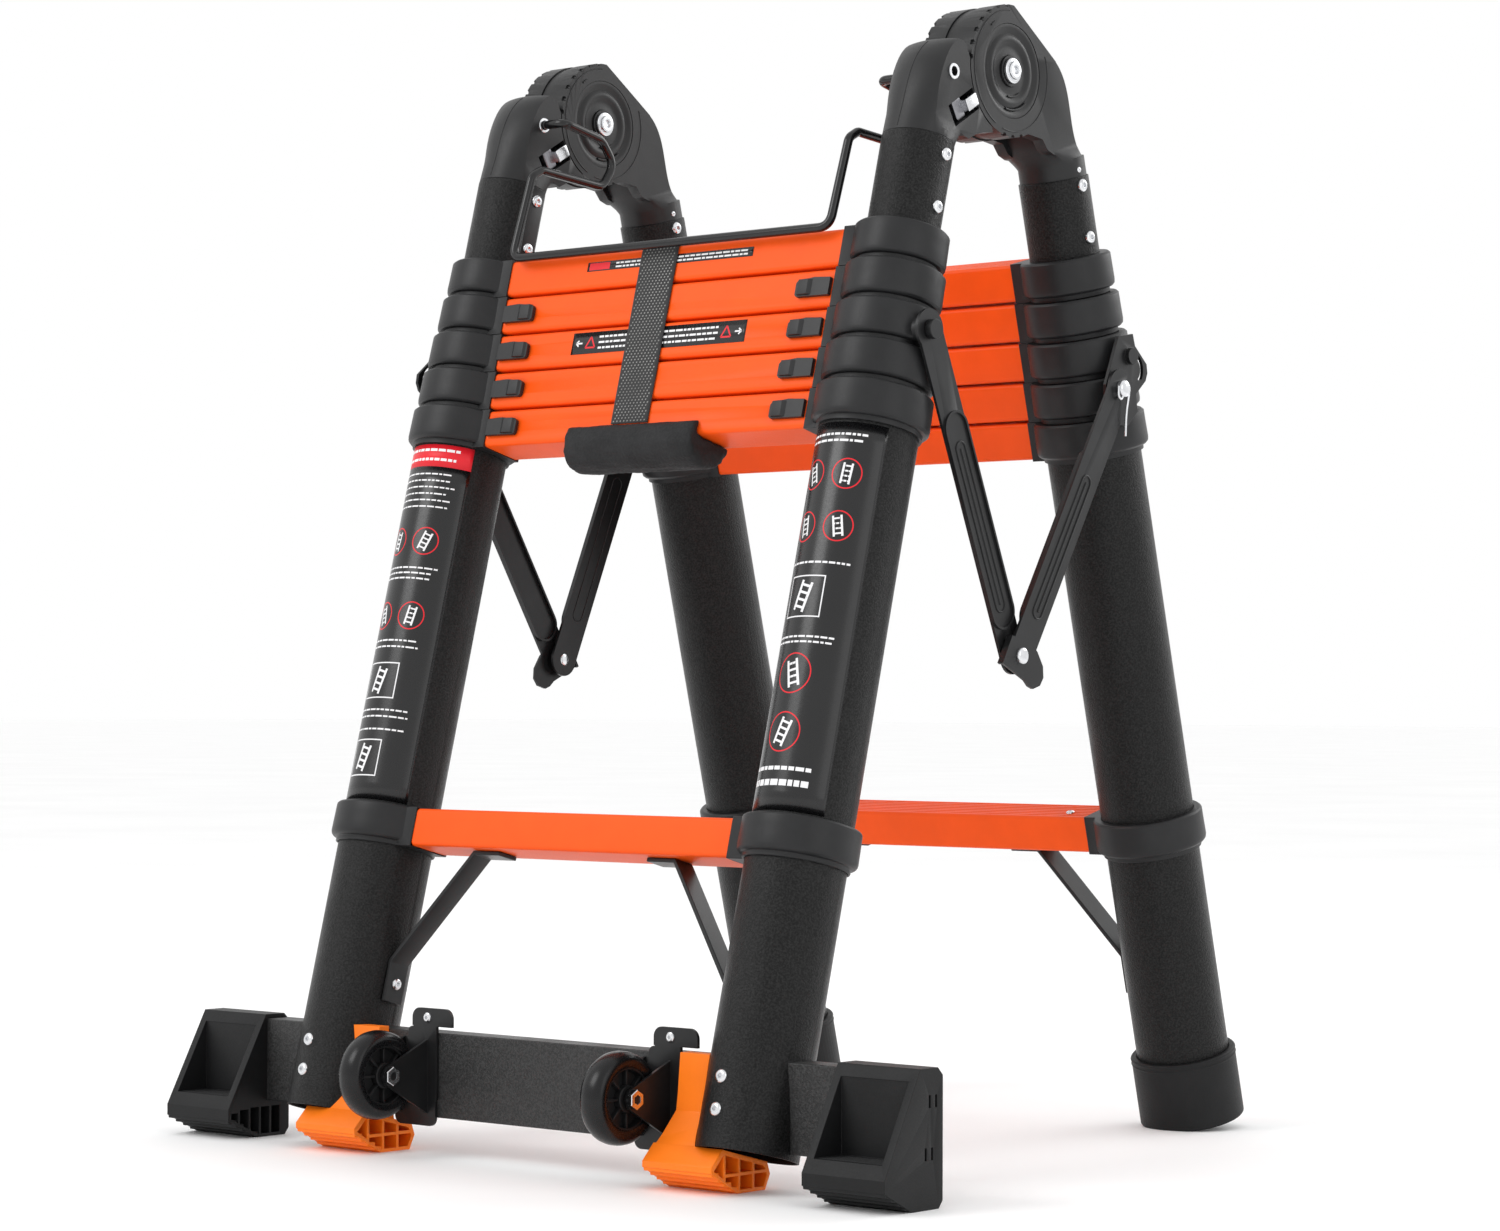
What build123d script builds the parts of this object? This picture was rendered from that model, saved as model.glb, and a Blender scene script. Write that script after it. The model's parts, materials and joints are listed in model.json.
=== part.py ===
"""Telescopic A-frame extension ladder.

Two telescoping sections lean against each other over a pair of multi-position
hinges. Each section has five nested stages; the outermost stage stands on the floor.
World frame: +X along the hinge axis, -Y towards the front section, +Z up.
Section frame: x, n (outward from the hinge axis) and s (down along the stiles).
"""
from build123d import *
import os
from math import sin, cos, radians

# ---- driving dimensions (mm, degrees) ----
LEAN = 14.6                 # each section's angle from the vertical
HINGE_Z = 762.0             # hinge axis above the floor
HINGE_Y = 10.9              # hinge axis ahead of the footprint's centre
STILE_X = 195.0             # stile axis from the centre plane
STILE_N = 61.0              # stile axis outward of the hinge axis
STAGES = (1, 2, 3, 4, 5)    # 1 is the outermost, lowest stage
TUBE_R = {1: 34.5, 2: 32.25, 3: 30.0, 4: 27.75, 5: 25.5}
TUBE_WALL = 1.4
RUNG_TOP = 141.2            # top rung's tread, down from the hinge axis
PITCH = 29.3                # rung to rung when the stages are nested
STEP = 300.0                # rung to rung when the stages are drawn out
RUNG_HEIGHT = 27.3
RUNG_DEPTH = 36.0
RUNG_WALL = 1.6
RUNG_N = 61.5               # rung's centre line, outward of the hinge axis
RUNG_HALF = 159.0           # half of the top rung's free length
RUNG_TAPER = 1.5            # each lower rung is this much shorter at each end
OVERLAP = 70.0              # length of tube left inside the stage below when drawn out
FRONT_FOOT_S = 779.0        # lower ends of the front stiles
BACK_FOOT_S = 787.0         # lower ends of the back stiles
TOP_TUBE_S = {"front": 74.0, "back": 84.0}   # upper ends of the innermost tubes
BUTTON_TRAVEL = 8.0

# collars
COLLAR_R = 33.0             # top collar's outer radius
COLLAR_STEP = 1.87          # each lower collar is larger by this
COLLAR_BAND = 25.6          # height of the collar's wide band
SOCKET_WALL = 1.2
SOCKET_DEPTH = 6.0          # length of rung inside its socket
RUNNING_GAP = 0.35          # radial gap between a tube and the collar it slides in

# hinge
DRUM_R = 46.6
TONGUE_R = 45.6
TONGUE_HALF = 4.0
HINGE_HALF = 22.0           # half the casting's width along the hinge axis
PIVOT_R = 6.0
PLUG_END_S = 140.0          # how far the castings reach into the innermost tubes
BAIL_N, BAIL_S = 62.0, 25.0     # bail bush in the front casting
WIRE_R = 3.25
LOCK_RADIUS = 48.3          # lock bolt's inner end from the hinge axis
LOCK_GUIDE = 15.0           # width of its guide block
FLAT_DISTANCE = 40.5        # flat on the rear drum, from the hinge axis
FLAT_ANGLE = 131.8          # direction of that flat from the stile direction
LOCK_ANGLE = 45.0           # its direction from the stile direction
LOCK_TRAVEL = 8.0

# stays
STAY_FRONT = (67.0, 216.0)  # n, s of the pivot of each inner link
STAY_REAR = (35.5, 235.5)   # n, s of the hitch pin of each outer link
BRACKET_BOLT = (60.8, 216.2)
INNER_WEB = (236.4, 238.6)  # x range of the inner link's web
OUTER_WEB = (243.2, 245.4)  # x range of the outer link's web
OUTER_FLANGE = 240.6        # low x of the outer link's flanges, clear of the inner link's
LINK_HALF = 12.8
STAY_PIN_R = 4.0

# base
BAR_Y = (-252.5, -232.5)    # stabiliser bar, from the hinge axis
BAR_Z = (-735.5, -676.0)
BAR_HALF = 330.0
BAR_WALL = 2.0
FOOT_X = (270.0, 337.0)
PAD_X = (136.0, 196.0)
WHEEL_X, WHEEL_Y, WHEEL_Z = 114.4, -291.0, -704.0
WHEEL_R, WHEEL_WIDTH, AXLE_R = 31.0, 20.0, 4.0
CAP_R = 39.0
CAP_S = (743.0, 795.0)
TRAVEL = STEP - PITCH


def place(side, shape):
    """Move a shape from the section frame (y = -n, z = -s) to the world."""
    lean = Rot(-LEAN, 0, 0) if side == "front" else Rot(LEAN, 0, 0) * Rot(0, 0, 180)
    return Pos(0, HINGE_Y, HINGE_Z) * lean * shape


def from_hinge(shape):
    """Move an upright shape, given from the hinge axis, to the world."""
    return Pos(0, HINGE_Y, HINGE_Z) * shape


def mirrored(shape):
    return mirror(shape, about=Plane.YZ)


def both_sides(shape):
    """A shape at the right-hand stile and its mirror image at the left."""
    return [shape, mirrored(shape)]


def box(x, n, s):
    """A box in the section frame from three (low, high) pairs."""
    size = (x[1] - x[0], n[1] - n[0], s[1] - s[0])
    return Pos((x[0] + x[1]) / 2, -(n[0] + n[1]) / 2, -(s[0] + s[1]) / 2) * Box(*size)


def world_box(x, y, z):
    size = (x[1] - x[0], y[1] - y[0], z[1] - z[0])
    return Pos((x[0] + x[1]) / 2, (y[0] + y[1]) / 2, (z[0] + z[1]) / 2) * Box(*size)


def stile_rod(radius, top, bottom):
    """A solid round bar on the right-hand stile axis."""
    return Pos(STILE_X, -STILE_N, -(top + bottom) / 2) * Cylinder(radius, bottom - top)


def cross_rod(radius, x, n, s):
    """A solid round bar along X."""
    middle = (x[0] + x[1]) / 2
    return Pos(middle, -n, -s) * Rot(0, 90, 0) * Cylinder(radius, x[1] - x[0])


def side_plate(points, x):
    """A plate of constant thickness along X from an outline of (n, s) points."""
    outline = Polyline(*[(-n, -s) for n, s in points], close=True)
    face = Plane.YZ * make_face(outline)
    return Pos(x[0], 0, 0) * extrude(face, amount=x[1] - x[0], dir=(1, 0, 0))


def upright_plate(points, x):
    """As side_plate, from (y, z) points."""
    return side_plate([(-y, -z) for y, z in points], x)


def write(name, solids):
    os.makedirs("parts", exist_ok=True)
    group = Compound(children=solids) if len(solids) > 1 else solids[0]
    group.label = name
    export_step(group, f"parts/{name}.step")


# ---- telescoping stages ----
def stack_index(stage):
    """0 for the innermost stage's rung at the top of the stack."""
    return 5 - stage


def rung_top(stage):
    return RUNG_TOP + PITCH * stack_index(stage)


def rung_half(stage):
    return RUNG_HALF - RUNG_TAPER * stack_index(stage)


def tube_ends(stage, side):
    """Upper and lower end of a stage's tubes."""
    top = TOP_TUBE_S[side] if stage == 5 else rung_top(stage) + 8.0
    if stage == 1:
        return top, FRONT_FOOT_S if side == "front" else BACK_FOOT_S
    return top, rung_top(stage - 1) + RUNG_HEIGHT + TRAVEL + OVERLAP


def tube(stage, side):
    top, bottom = tube_ends(stage, side)
    radius = TUBE_R[stage]
    body = stile_rod(radius, top, bottom) - stile_rod(radius - TUBE_WALL, top - 1, bottom + 1)
    if stage < 5:
        middle = rung_top(stage) + RUNG_HEIGHT / 2
        body -= cross_rod(3.8, (STILE_X - radius - 5, STILE_X - radius + 8), STILE_N, middle)
    return body


def collar(stage, top, half, running):
    """Moulded collar: a round band on the tube and a socket for the rung's end.

    top is the rung's tread, half its free half length, and running the radius of the
    tube that slides through the collar, or None where the collar only holds its own tube.
    """
    index = stack_index(stage) if running or stage == 5 else 4
    outer = COLLAR_R + COLLAR_STEP * index
    own = TUBE_R[stage] + 0.05
    start, end = top - 0.8, top + PITCH - 1.2
    lip = start + COLLAR_BAND
    points = [(outer - 8, start), (outer - 1.5, start), (outer, start + 1.5),
              (outer + 0.4, lip - 4.5), (outer, lip - 2.0), (outer - 1.6, lip - 0.4),
              (outer - 4, lip), (outer - 4, end), (outer - 8, end)]
    profile = make_face(Polyline(*[(r, -s) for r, s in points], close=True))
    band = Pos(STILE_X, -STILE_N, 0) * revolve(Plane.XZ * profile, Axis.Z)
    core = stile_rod(outer - 6, start, end)
    depth = RUNG_DEPTH / 2 + SOCKET_WALL
    block = box((half, STILE_X), (RUNG_N - depth, RUNG_N + depth), (start, end))
    body = band + core + block
    pocket = RectangleRounded(RUNG_DEPTH + 0.2, RUNG_HEIGHT + 0.2, 3.0)
    pocket = Plane.YZ * (Pos(-RUNG_N, -(top + RUNG_HEIGHT / 2)) * pocket)
    body -= Pos(half - 1, 0, 0) * extrude(pocket, amount=SOCKET_DEPTH + 1.2, dir=(1, 0, 0))
    if running:
        body -= stile_rod(running + RUNNING_GAP, start - 1, end + 1)
        body -= stile_rod(own, top + 8.0, end + 1)
        middle = top + RUNG_HEIGHT / 2
        body -= cross_rod(3.8, (half, STILE_X - running), STILE_N, middle)
    else:
        body -= stile_rod(own, start - 1, end + 1)
    return body


def rung(top, half, slots):
    """Hollow rung with a ribbed tread; slots opens its outer wall for the release buttons."""
    profile = RectangleRounded(RUNG_DEPTH, RUNG_HEIGHT, 3.0)
    profile -= RectangleRounded(RUNG_DEPTH - 2 * RUNG_WALL, RUNG_HEIGHT - 2 * RUNG_WALL, 1.4)
    for number in range(7):
        profile -= Pos(4.2 * (number - 3), RUNG_HEIGHT / 2) * Rectangle(1.4, 1.2)
    middle = top + RUNG_HEIGHT / 2
    face = Plane.YZ * (Pos(-RUNG_N, -middle) * profile)
    body = extrude(face, amount=half + SOCKET_DEPTH, both=True)
    if slots:
        outside = RUNG_N + RUNG_DEPTH / 2
        opening = box((half - 27, half - 10), (outside - 3, outside + 1), (middle - 3.5, middle + 3.5))
        for slot in both_sides(opening):
            body -= slot
    return body


def button(stage):
    """Release button: thumb pad, stem through the rung's wall, slide bar and lock pin."""
    half = rung_half(stage)
    middle = rung_top(stage) + RUNG_HEIGHT / 2
    outside = RUNG_N + RUNG_DEPTH / 2
    pad = [(half - 1.5, 6.2), (half - 16, 7.0), (half - 30, 5.2), (half - 31.5, 3.5),
           (half - 31.5, -5.0), (half - 30, -6.5), (half - 1.5, -6.5)]
    face = make_face(Polyline(*[(x, z - middle) for x, z in pad], close=True))
    body = extrude(Plane.XZ * face, amount=3.2, dir=(0, -1, 0))
    body = Pos(0, -(outside + 0.3), 0) * body
    pin_x = half - 14.5
    body += box((pin_x - 3, pin_x + 3), (STILE_N, outside + 1), (middle - 3, middle + 3))
    body += box((pin_x - 3, half - 1.5), (STILE_N - 4, STILE_N + 4), (middle - 4, middle + 4))
    tip = STILE_X - TUBE_R[stage + 1] - 0.4
    body += cross_rod(3.5, (half - 2, tip), STILE_N, middle)
    return body


def brace():
    """Bent flat bar from the underside of the bottom rung to the lower tube."""
    under = rung_top(1) + STEP + RUNG_HEIGHT
    wall = STILE_X - TUBE_R[1]
    thick = 3.0
    outer = [(70, under + 0.2), (96, under + 0.2), (wall - 0.3, under + 82), (wall - 0.3, under + 112)]
    inner = [(wall - 0.3 - thick, under + 112), (wall - 0.3 - thick, under + 83.5),
             (94.5, under + 0.2 + thick), (70, under + 0.2 + thick)]
    face = make_face(Polyline(*[(x, -s) for x, s in outer + inner], close=True))
    return Pos(0, -(STILE_N - 9), 0) * extrude(Plane.XZ * face, amount=18, dir=(0, -1, 0))


def write_section(side):
    """All tubes, collars, rungs, buttons and braces of one section."""
    for stage in STAGES:
        tubes = [place(side, part) for part in both_sides(tube(stage, side))]
        if stage == 1 and side == "front":
            slot = from_hinge(world_box((-BAR_HALF, BAR_HALF), BAR_Y, BAR_Z))
            tubes = [part - slot for part in tubes]
        running = TUBE_R[stage + 1] if stage < 5 else None
        collars = both_sides(collar(stage, rung_top(stage), rung_half(stage), running))
        rungs = [rung(rung_top(stage), rung_half(stage), stage < 5)]
        if stage == 1:
            low = rung_top(1) + STEP
            low_half = rung_half(1) - 2 * RUNG_TAPER
            collars += both_sides(collar(1, low, low_half, None))
            rungs.append(rung(low, low_half, False))
        if stage == 3:
            collars = [part + boss for part, boss in zip(collars, stay_bosses(side))]
        collars = [place(side, part) for part in collars]
        rungs = [place(side, part) for part in rungs]
        if stage == 1:
            write(f"{side}_base_tubes", tubes)
            write(f"{side}_base_collars", collars)
            write(f"{side}_base_rungs", rungs)
            write(f"{side}_braces", [place(side, part) for part in both_sides(brace())])
        else:
            name = f"{side}_top" if stage == 5 else f"{side}_stage{stage}"
            write(f"{name}_stiles", tubes + collars)
            write(f"{name}_rung", rungs)
        if stage < 5:
            right = place(side, button(stage))
            left = place(side, mirrored(button(stage)))
            if side == "back":
                right, left = left, right
            write(f"{side}_button_right_{stage}", [right])
            write(f"{side}_button_left_{stage}", [left])


# ---- hinges ----
def hinge_disc(radius, x):
    return cross_rod(radius, x, 0, 0)


def section(s, back, front, back_bulge, front_bulge, side_bulge=0.0):
    """Closed section at s: flat or bulging sides and bulging front and back edges."""
    half = HINGE_HALF
    level = Plane.XY.offset(-s)

    def point(x, n):
        return (STILE_X + x, -n)

    middle = (back + front) / 2
    front_edge = ThreePointArc(point(-half, front), point(0, front + front_bulge), point(half, front))
    back_edge = ThreePointArc(point(half, back), point(0, back - back_bulge), point(-half, back))
    if side_bulge:
        right = ThreePointArc(point(half, front), point(half + side_bulge, middle), point(half, back))
        left = ThreePointArc(point(-half, back), point(-half - side_bulge, middle), point(-half, front))
    else:
        right = Line(point(half, front), point(half, back))
        left = Line(point(-half, back), point(-half, front))
    return level * make_face([front_edge, right, back_edge, left])


def arm_body(rows, radius, sleeve_s):
    """Arm of a casting: rows of (s, back, front, bulge) down to a round sleeve."""
    stations = [section(s, back, front, 0.4 * bulge, bulge) for s, back, front, bulge in rows]
    body = loft(stations)
    reach = (radius ** 2 - HINGE_HALF ** 2) ** 0.5
    end = section(sleeve_s, STILE_N - reach, STILE_N + reach, radius - reach, radius - reach,
                  radius - HINGE_HALF)
    return body + loft([stations[-1], end])


def lock_frame(radius):
    """Location at a distance from the hinge axis, with Y along the lock bolt's travel."""
    angle = radians(LOCK_ANGLE)
    return Pos(STILE_X, -radius * sin(angle), -radius * cos(angle)) * Rot(90 - LOCK_ANGLE, 0, 0)


def front_casting():
    """Casting on the front stile: an arm with a tongue that turns inside the rear drum."""
    x = (STILE_X - HINGE_HALF, STILE_X + HINGE_HALF)
    middle = (STILE_X - TONGUE_HALF, STILE_X + TONGUE_HALF)
    rows = [(0.8, 30, 62, 4), (9, 30, 68.5, 5), (20, 30, 72.5, 6.5), (32, 30, 74.5, 7.5),
            (46, 33, 74.5, 9), (60, 42, 73.5, 11)]
    arm = arm_body(rows, TUBE_R[5] - 0.2, TOP_TUBE_S["front"] - 0.1)
    under = [(60, 1.2), (60, 58), (40, 64), (34, 64), (27, 58), (20, 54), (9, 49.5), (20, 30)]
    arm += side_plate(under, x)
    arm -= hinge_disc(DRUM_R + 1.0, x)
    root = side_plate([(20, 20), (60, 12), (60, 48), (20, 48)], middle)
    casting = arm + root + hinge_disc(TONGUE_R, middle)
    casting += stile_rod(TUBE_R[5] - TUBE_WALL - 0.05, 68, PLUG_END_S)
    casting -= stile_rod(TUBE_R[5] - TUBE_WALL - 4, 84, PLUG_END_S + 1)
    casting -= hinge_disc(PIVOT_R, x)
    casting -= side_plate([(44, 12.4), (57.2, -2.5), (44, -2.5)], (x[0] - 1, x[1] + 1))
    casting -= cross_rod(WIRE_R + 0.05, x, BAIL_N, BAIL_S)
    window = Box(60, 31.4, LOCK_GUIDE + 0.8)
    casting -= lock_frame(DRUM_R + 1.0 + 15.7) * window
    return casting


def rear_casting():
    """Casting on the back stile: two ringed cheeks that clasp the tongue, arm and sleeve."""
    x = (STILE_X - HINGE_HALF, STILE_X + HINGE_HALF)
    middle = (STILE_X - TONGUE_HALF - 0.35, STILE_X + TONGUE_HALF + 0.35)
    rows = [(0.8, 30, 54.6, 0.6), (8, 30, 59, 2.5), (16, 30, 61.7, 4.5), (40, 30, 63, 8),
            (62, 36, 65, 10)]
    arm = arm_body(rows, TUBE_R[5] - 1.2, 74)
    under = [(55, 1.2), (60, 62), (46, 67), (36, 64.5), (29, 60), (25, 52), (16, 48.5), (9, 46), (20, 30)]
    for cheek in ((x[0], x[0] + 9), (x[1] - 9, x[1])):
        arm += side_plate(under, cheek)
    drum = hinge_disc(DRUM_R, x)
    flat = Pos(STILE_X, 0, 0) * Rot(180 - FLAT_ANGLE, 0, 0) * Pos(0, 0, FLAT_DISTANCE + 30) * Box(60, 140, 60)
    shoulder = side_plate([(45.0, -10.4), (54.6, 0.4), (54.6, 1.2), (40, 1.2)], x)
    casting = drum - flat + shoulder + arm
    casting -= hinge_disc(DRUM_R + 0.5, middle)
    casting += stile_rod(TUBE_R[5] - 1.2, 70, TOP_TUBE_S["back"] - 0.1)
    casting += stile_rod(TUBE_R[5] - TUBE_WALL - 0.05, 80, PLUG_END_S)
    casting -= stile_rod(TUBE_R[5] - TUBE_WALL - 4, 88, PLUG_END_S + 1)
    casting -= hinge_disc(PIVOT_R + 0.05, (x[0] - 1, x[1] + 1))
    for edge in x:
        casting -= ring_recess(edge)
        casting -= rim_notches(edge)
    return casting


def ring_recess(edge):
    """Shallow round recess with a raised boss at the bolt, in a cheek's outer face."""
    return hinge_disc(33.5, (edge - 2.4, edge + 2.4)) - hinge_disc(11, (edge - 3, edge + 3))


def rim_notches(edge):
    """Index notches round the parts of a cheek's rim that the arm leaves free."""
    notches = []
    for angle in [-24, -12, 0] + list(range(172, 262, 13)):
        n, s = DRUM_R * sin(radians(angle)), DRUM_R * cos(radians(angle))
        notches.append(cross_rod(1.9, (edge - 2.5, edge + 2.5), n, s))
    return notches


def pivot_bolt():
    head = HINGE_HALF + 0.4
    bolt = cross_rod(PIVOT_R - 0.01, (STILE_X - head, STILE_X + head), 0, 0)
    for sign in (-1, 1):
        start, step, end = STILE_X + sign * head, STILE_X + sign * (head + 2), STILE_X + sign * (head + 4)
        bolt += cross_rod(9.0, sorted((start, step)), 0, 0)
        bolt += cross_rod(6.5, sorted((step, end)), 0, 0)
    return bolt


def lock_bolt():
    """Spring bolt across the front casting's window, with a wider guide block behind it."""
    bar = lock_frame(LOCK_RADIUS + 6.5) * Box(2 * HINGE_HALF + 4, 13.0, 9.0)
    return bar + lock_frame(LOCK_RADIUS + 17) * Box(2 * HINGE_HALF - 6, 10.0, LOCK_GUIDE)


def release_bail():
    """Bent wire loop from one bush to the other, with its grip bar ahead of the top rung."""
    inside = STILE_X - HINGE_HALF
    plane_x = inside - 21
    loop = [(20, 22.5), (2, 36), (10, 57), (76, 68.5), (84, 76), (88.2, 143)]
    right = [(inside + 12, BAIL_N, BAIL_S), (plane_x, BAIL_N, BAIL_S)]
    right += [(plane_x, n, s) for n, s in loop]
    route = [Vector(x, -n, -s) for x, n, s in right]
    route += [Vector(-x, -n, -s) for x, n, s in reversed(right)]
    radii = [7, 14, 13, 13, 8, 9, 10]
    path = FilletPolyline(*route, radius=radii + radii[::-1])
    section = Plane(origin=route[0], z_dir=(-1, 0, 0)) * Circle(WIRE_R)
    return sweep(section, path=path)


def write_hinges():
    write("front_hinge_castings", [place("front", part) for part in both_sides(front_casting())])
    write("rear_hinge_castings", [place("back", part) for part in both_sides(rear_casting())])
    write("hinge_pivot_bolts", [place("front", part) for part in both_sides(pivot_bolt())])
    write("hinge_lock_bolts", [place("front", part) for part in both_sides(lock_bolt())])
    write("release_bail", [place("front", release_bail())])


# ---- stays ----
def to_yz(side, n, s):
    """Section (n, s) to (y, z) from the hinge axis."""
    angle = radians(LEAN)
    y = s * sin(angle) + n * cos(angle)
    z = -s * cos(angle) + n * sin(angle)
    return (-y if side == "front" else y), z


FRONT_PIVOT = to_yz("front", *STAY_FRONT)
REAR_PIVOT = to_yz("back", *STAY_REAR)
APEX = (FRONT_PIVOT[0] + REAR_PIVOT[0], FRONT_PIVOT[1] + REAR_PIVOT[1])


def rod_at(point, radius, x):
    """Round bar along X through a (y, z) point from the hinge axis."""
    return cross_rod(radius, x, -point[0], -point[1])


def bar_between(start, end, half, x):
    """Flat bar with round ends between two (y, z) points."""
    along = Vector(end[0] - start[0], end[1] - start[1], 0).normalized()
    side = Vector(-along.Y, along.X, 0) * half
    corners = [(start[0] + side.X, start[1] + side.Y), (end[0] + side.X, end[1] + side.Y),
               (end[0] - side.X, end[1] - side.Y), (start[0] - side.X, start[1] - side.Y)]
    bar = upright_plate(corners, x)
    return bar + rod_at(start, half, x) + rod_at(end, half, x)


def between(start, end, share):
    return tuple(a + (b - a) * share for a, b in zip(start, end))


def channel(start, end, web, flange, clear=0.3):
    """Pressed link: a web with round ends and a shallow flange from the share clear on."""
    low, high = sorted((flange, web[0] if flange < web[0] else web[1]))
    inset, far = between(start, end, clear), between(start, end, 0.86)
    link = bar_between(start, end, LINK_HALF, web)
    edges = bar_between(inset, far, LINK_HALF, (low, high))
    link += rod_at(start, LINK_HALF + 1.4, web)
    return link + (edges - bar_between(inset, far, LINK_HALF - 1.6, (low - 1, high + 1)))


def inner_link():
    """From the front collar to the apex; it carries the apex rivet."""
    link = channel(FRONT_PIVOT, APEX, INNER_WEB, INNER_WEB[1] + 1.6)
    link -= rod_at(FRONT_PIVOT, STAY_PIN_R + 0.05, (230, 250))
    link += rod_at(APEX, 7.0, (INNER_WEB[1], OUTER_WEB[0] - 0.3))
    link += rod_at(APEX, STAY_PIN_R, (OUTER_WEB[0] - 0.5, OUTER_WEB[1] + 0.4))
    return link + rod_at(APEX, 5.5, (OUTER_WEB[1] + 0.4, OUTER_WEB[1] + 2.2))


def outer_link():
    """From the hitch pin to the apex, with the folded stop tab beside the apex."""
    link = channel(REAR_PIVOT, APEX, OUTER_WEB, OUTER_FLANGE)
    offsets = [(-21, -5), (-10, 14), (10, 10), (19, 3), (25.5, -7), (26, -15), (22, -20.5), (14, -22.8),
               (9, -21), (4.6, -17)]
    tab = [(APEX[0] + y, APEX[1] + z) for y, z in offsets]
    link += upright_plate(tab, OUTER_WEB)
    fold = [(APEX[0] - 21, APEX[1] - 5), (APEX[0] - 10, APEX[1] + 14), (APEX[0] - 8.2, APEX[1] + 13),
            (APEX[0] - 19.2, APEX[1] - 6)]
    link += upright_plate(fold, (OUTER_FLANGE, OUTER_WEB[0] + 0.5))
    link -= rod_at(APEX, STAY_PIN_R + 0.05, (240, 250))
    link += rod_at(REAR_PIVOT, 6.0, (OUTER_WEB[1], OUTER_WEB[1] + 3.5))
    return link + rod_at(REAR_PIVOT, STAY_PIN_R, (OUTER_WEB[0] - 2.5, OUTER_WEB[1]))


def stay_boss(n, s, reach):
    """Boss on the third collar that carries a stay fitting."""
    boss = cross_rod(9.0, (STILE_X + 20, reach), n, s)
    return boss - stile_rod(TUBE_R[3] + 1.5, s - 20, s + 20)


def stay_bosses(side):
    """Bosses of a section's right and left collar, in the section frame.

    The right-hand stay has its inner link on the front section, and the left-hand one
    on the back section, so each section has one boss of each kind. The section frame
    of the back section is turned half a turn, which puts its own right at world left.
    """
    plain = stay_boss(*STAY_FRONT, INNER_WEB[0] - 0.4)
    bracket = stay_boss(*BRACKET_BOLT, INNER_WEB[0] - 0.1)
    return [plain, mirrored(bracket)]


def plain_pivot():
    """Shouldered bolt of an inner link."""
    bolt = cross_rod(STAY_PIN_R, (INNER_WEB[0] - 0.4, INNER_WEB[1] + 0.3), *STAY_FRONT)
    return bolt + cross_rod(6.8, (INNER_WEB[1] + 0.3, INNER_WEB[1] + 5.3), *STAY_FRONT)


def sector_bracket():
    """Plate with an arc slot on the third collar, and its mounting bolt."""
    n, s = BRACKET_BOLT
    outline = [(n - 10, s - 16.5), (n + 8, s - 15), (n + 8.6, s - 6), (n + 19.6, s + 9.5), (n + 19, s + 16),
               (n + 15.4, s + 21), (n + 1, s + 28), (n, s + 41), (n - 15, s + 48),
               (n - 30, s + 44), (n - 38, s + 32), (n - 34, s + 14)]
    x = (INNER_WEB[0], INNER_WEB[1] + 0.4)
    plate = side_plate(outline, x)
    wide = (x[0] - 1, x[1] + 1)
    slot = cross_rod(12.5, wide, n + 2, s + 10) - cross_rod(8.8, wide, n + 2, s + 10)
    slot &= box(wide, (n + 6, n + 16), (s + 1, s + 19))
    plate -= slot
    bolt = cross_rod(6.0, (x[1], x[1] + 3.4), n, s)
    return plate + bolt


def write_stays():
    """Right-hand stay, and the left-hand one turned half a turn about the vertical axis."""
    half_turn = Rot(0, 0, 180)
    for hand, turn in (("right", Rot(0, 0, 0)), ("left", half_turn)):
        write(f"{hand}_stay_inner_link", [from_hinge(turn * inner_link())])
        write(f"{hand}_stay_outer_link", [from_hinge(turn * outer_link())])
    for side in ("front", "back"):
        parts = [place(side, plain_pivot()), place(side, mirrored(sector_bracket()))]
        write(f"{side}_stay_mounts", parts)


# ---- base of the front section ----
def stabiliser_bar():
    outer = world_box((-BAR_HALF, BAR_HALF), BAR_Y, BAR_Z)
    inner_y = (BAR_Y[0] + BAR_WALL, BAR_Y[1] - BAR_WALL)
    inner_z = (BAR_Z[0] + BAR_WALL, BAR_Z[1] - BAR_WALL)
    return outer - world_box((-BAR_HALF - 1, BAR_HALF + 1), inner_y, inner_z)


def end_foot():
    """Wedge foot on the end of the bar, with a recessed sloping front."""
    outline = [(-254, -673), (-236, -673), (-231, -678), (-231, -757), (-235, -762), (-262, -762),
               (-290, -748), (-290, -740)]
    foot = upright_plate(outline, FOOT_X)
    recess = [(-257.5, -681), (-262, -681), (-290, -731), (-257.5, -731)]
    foot -= upright_plate(recess, (FOOT_X[0] + 6, FOOT_X[1] - 6))
    return foot - world_box((FOOT_X[0] - 1, BAR_HALF + 0.2), BAR_Y, BAR_Z)


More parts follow.
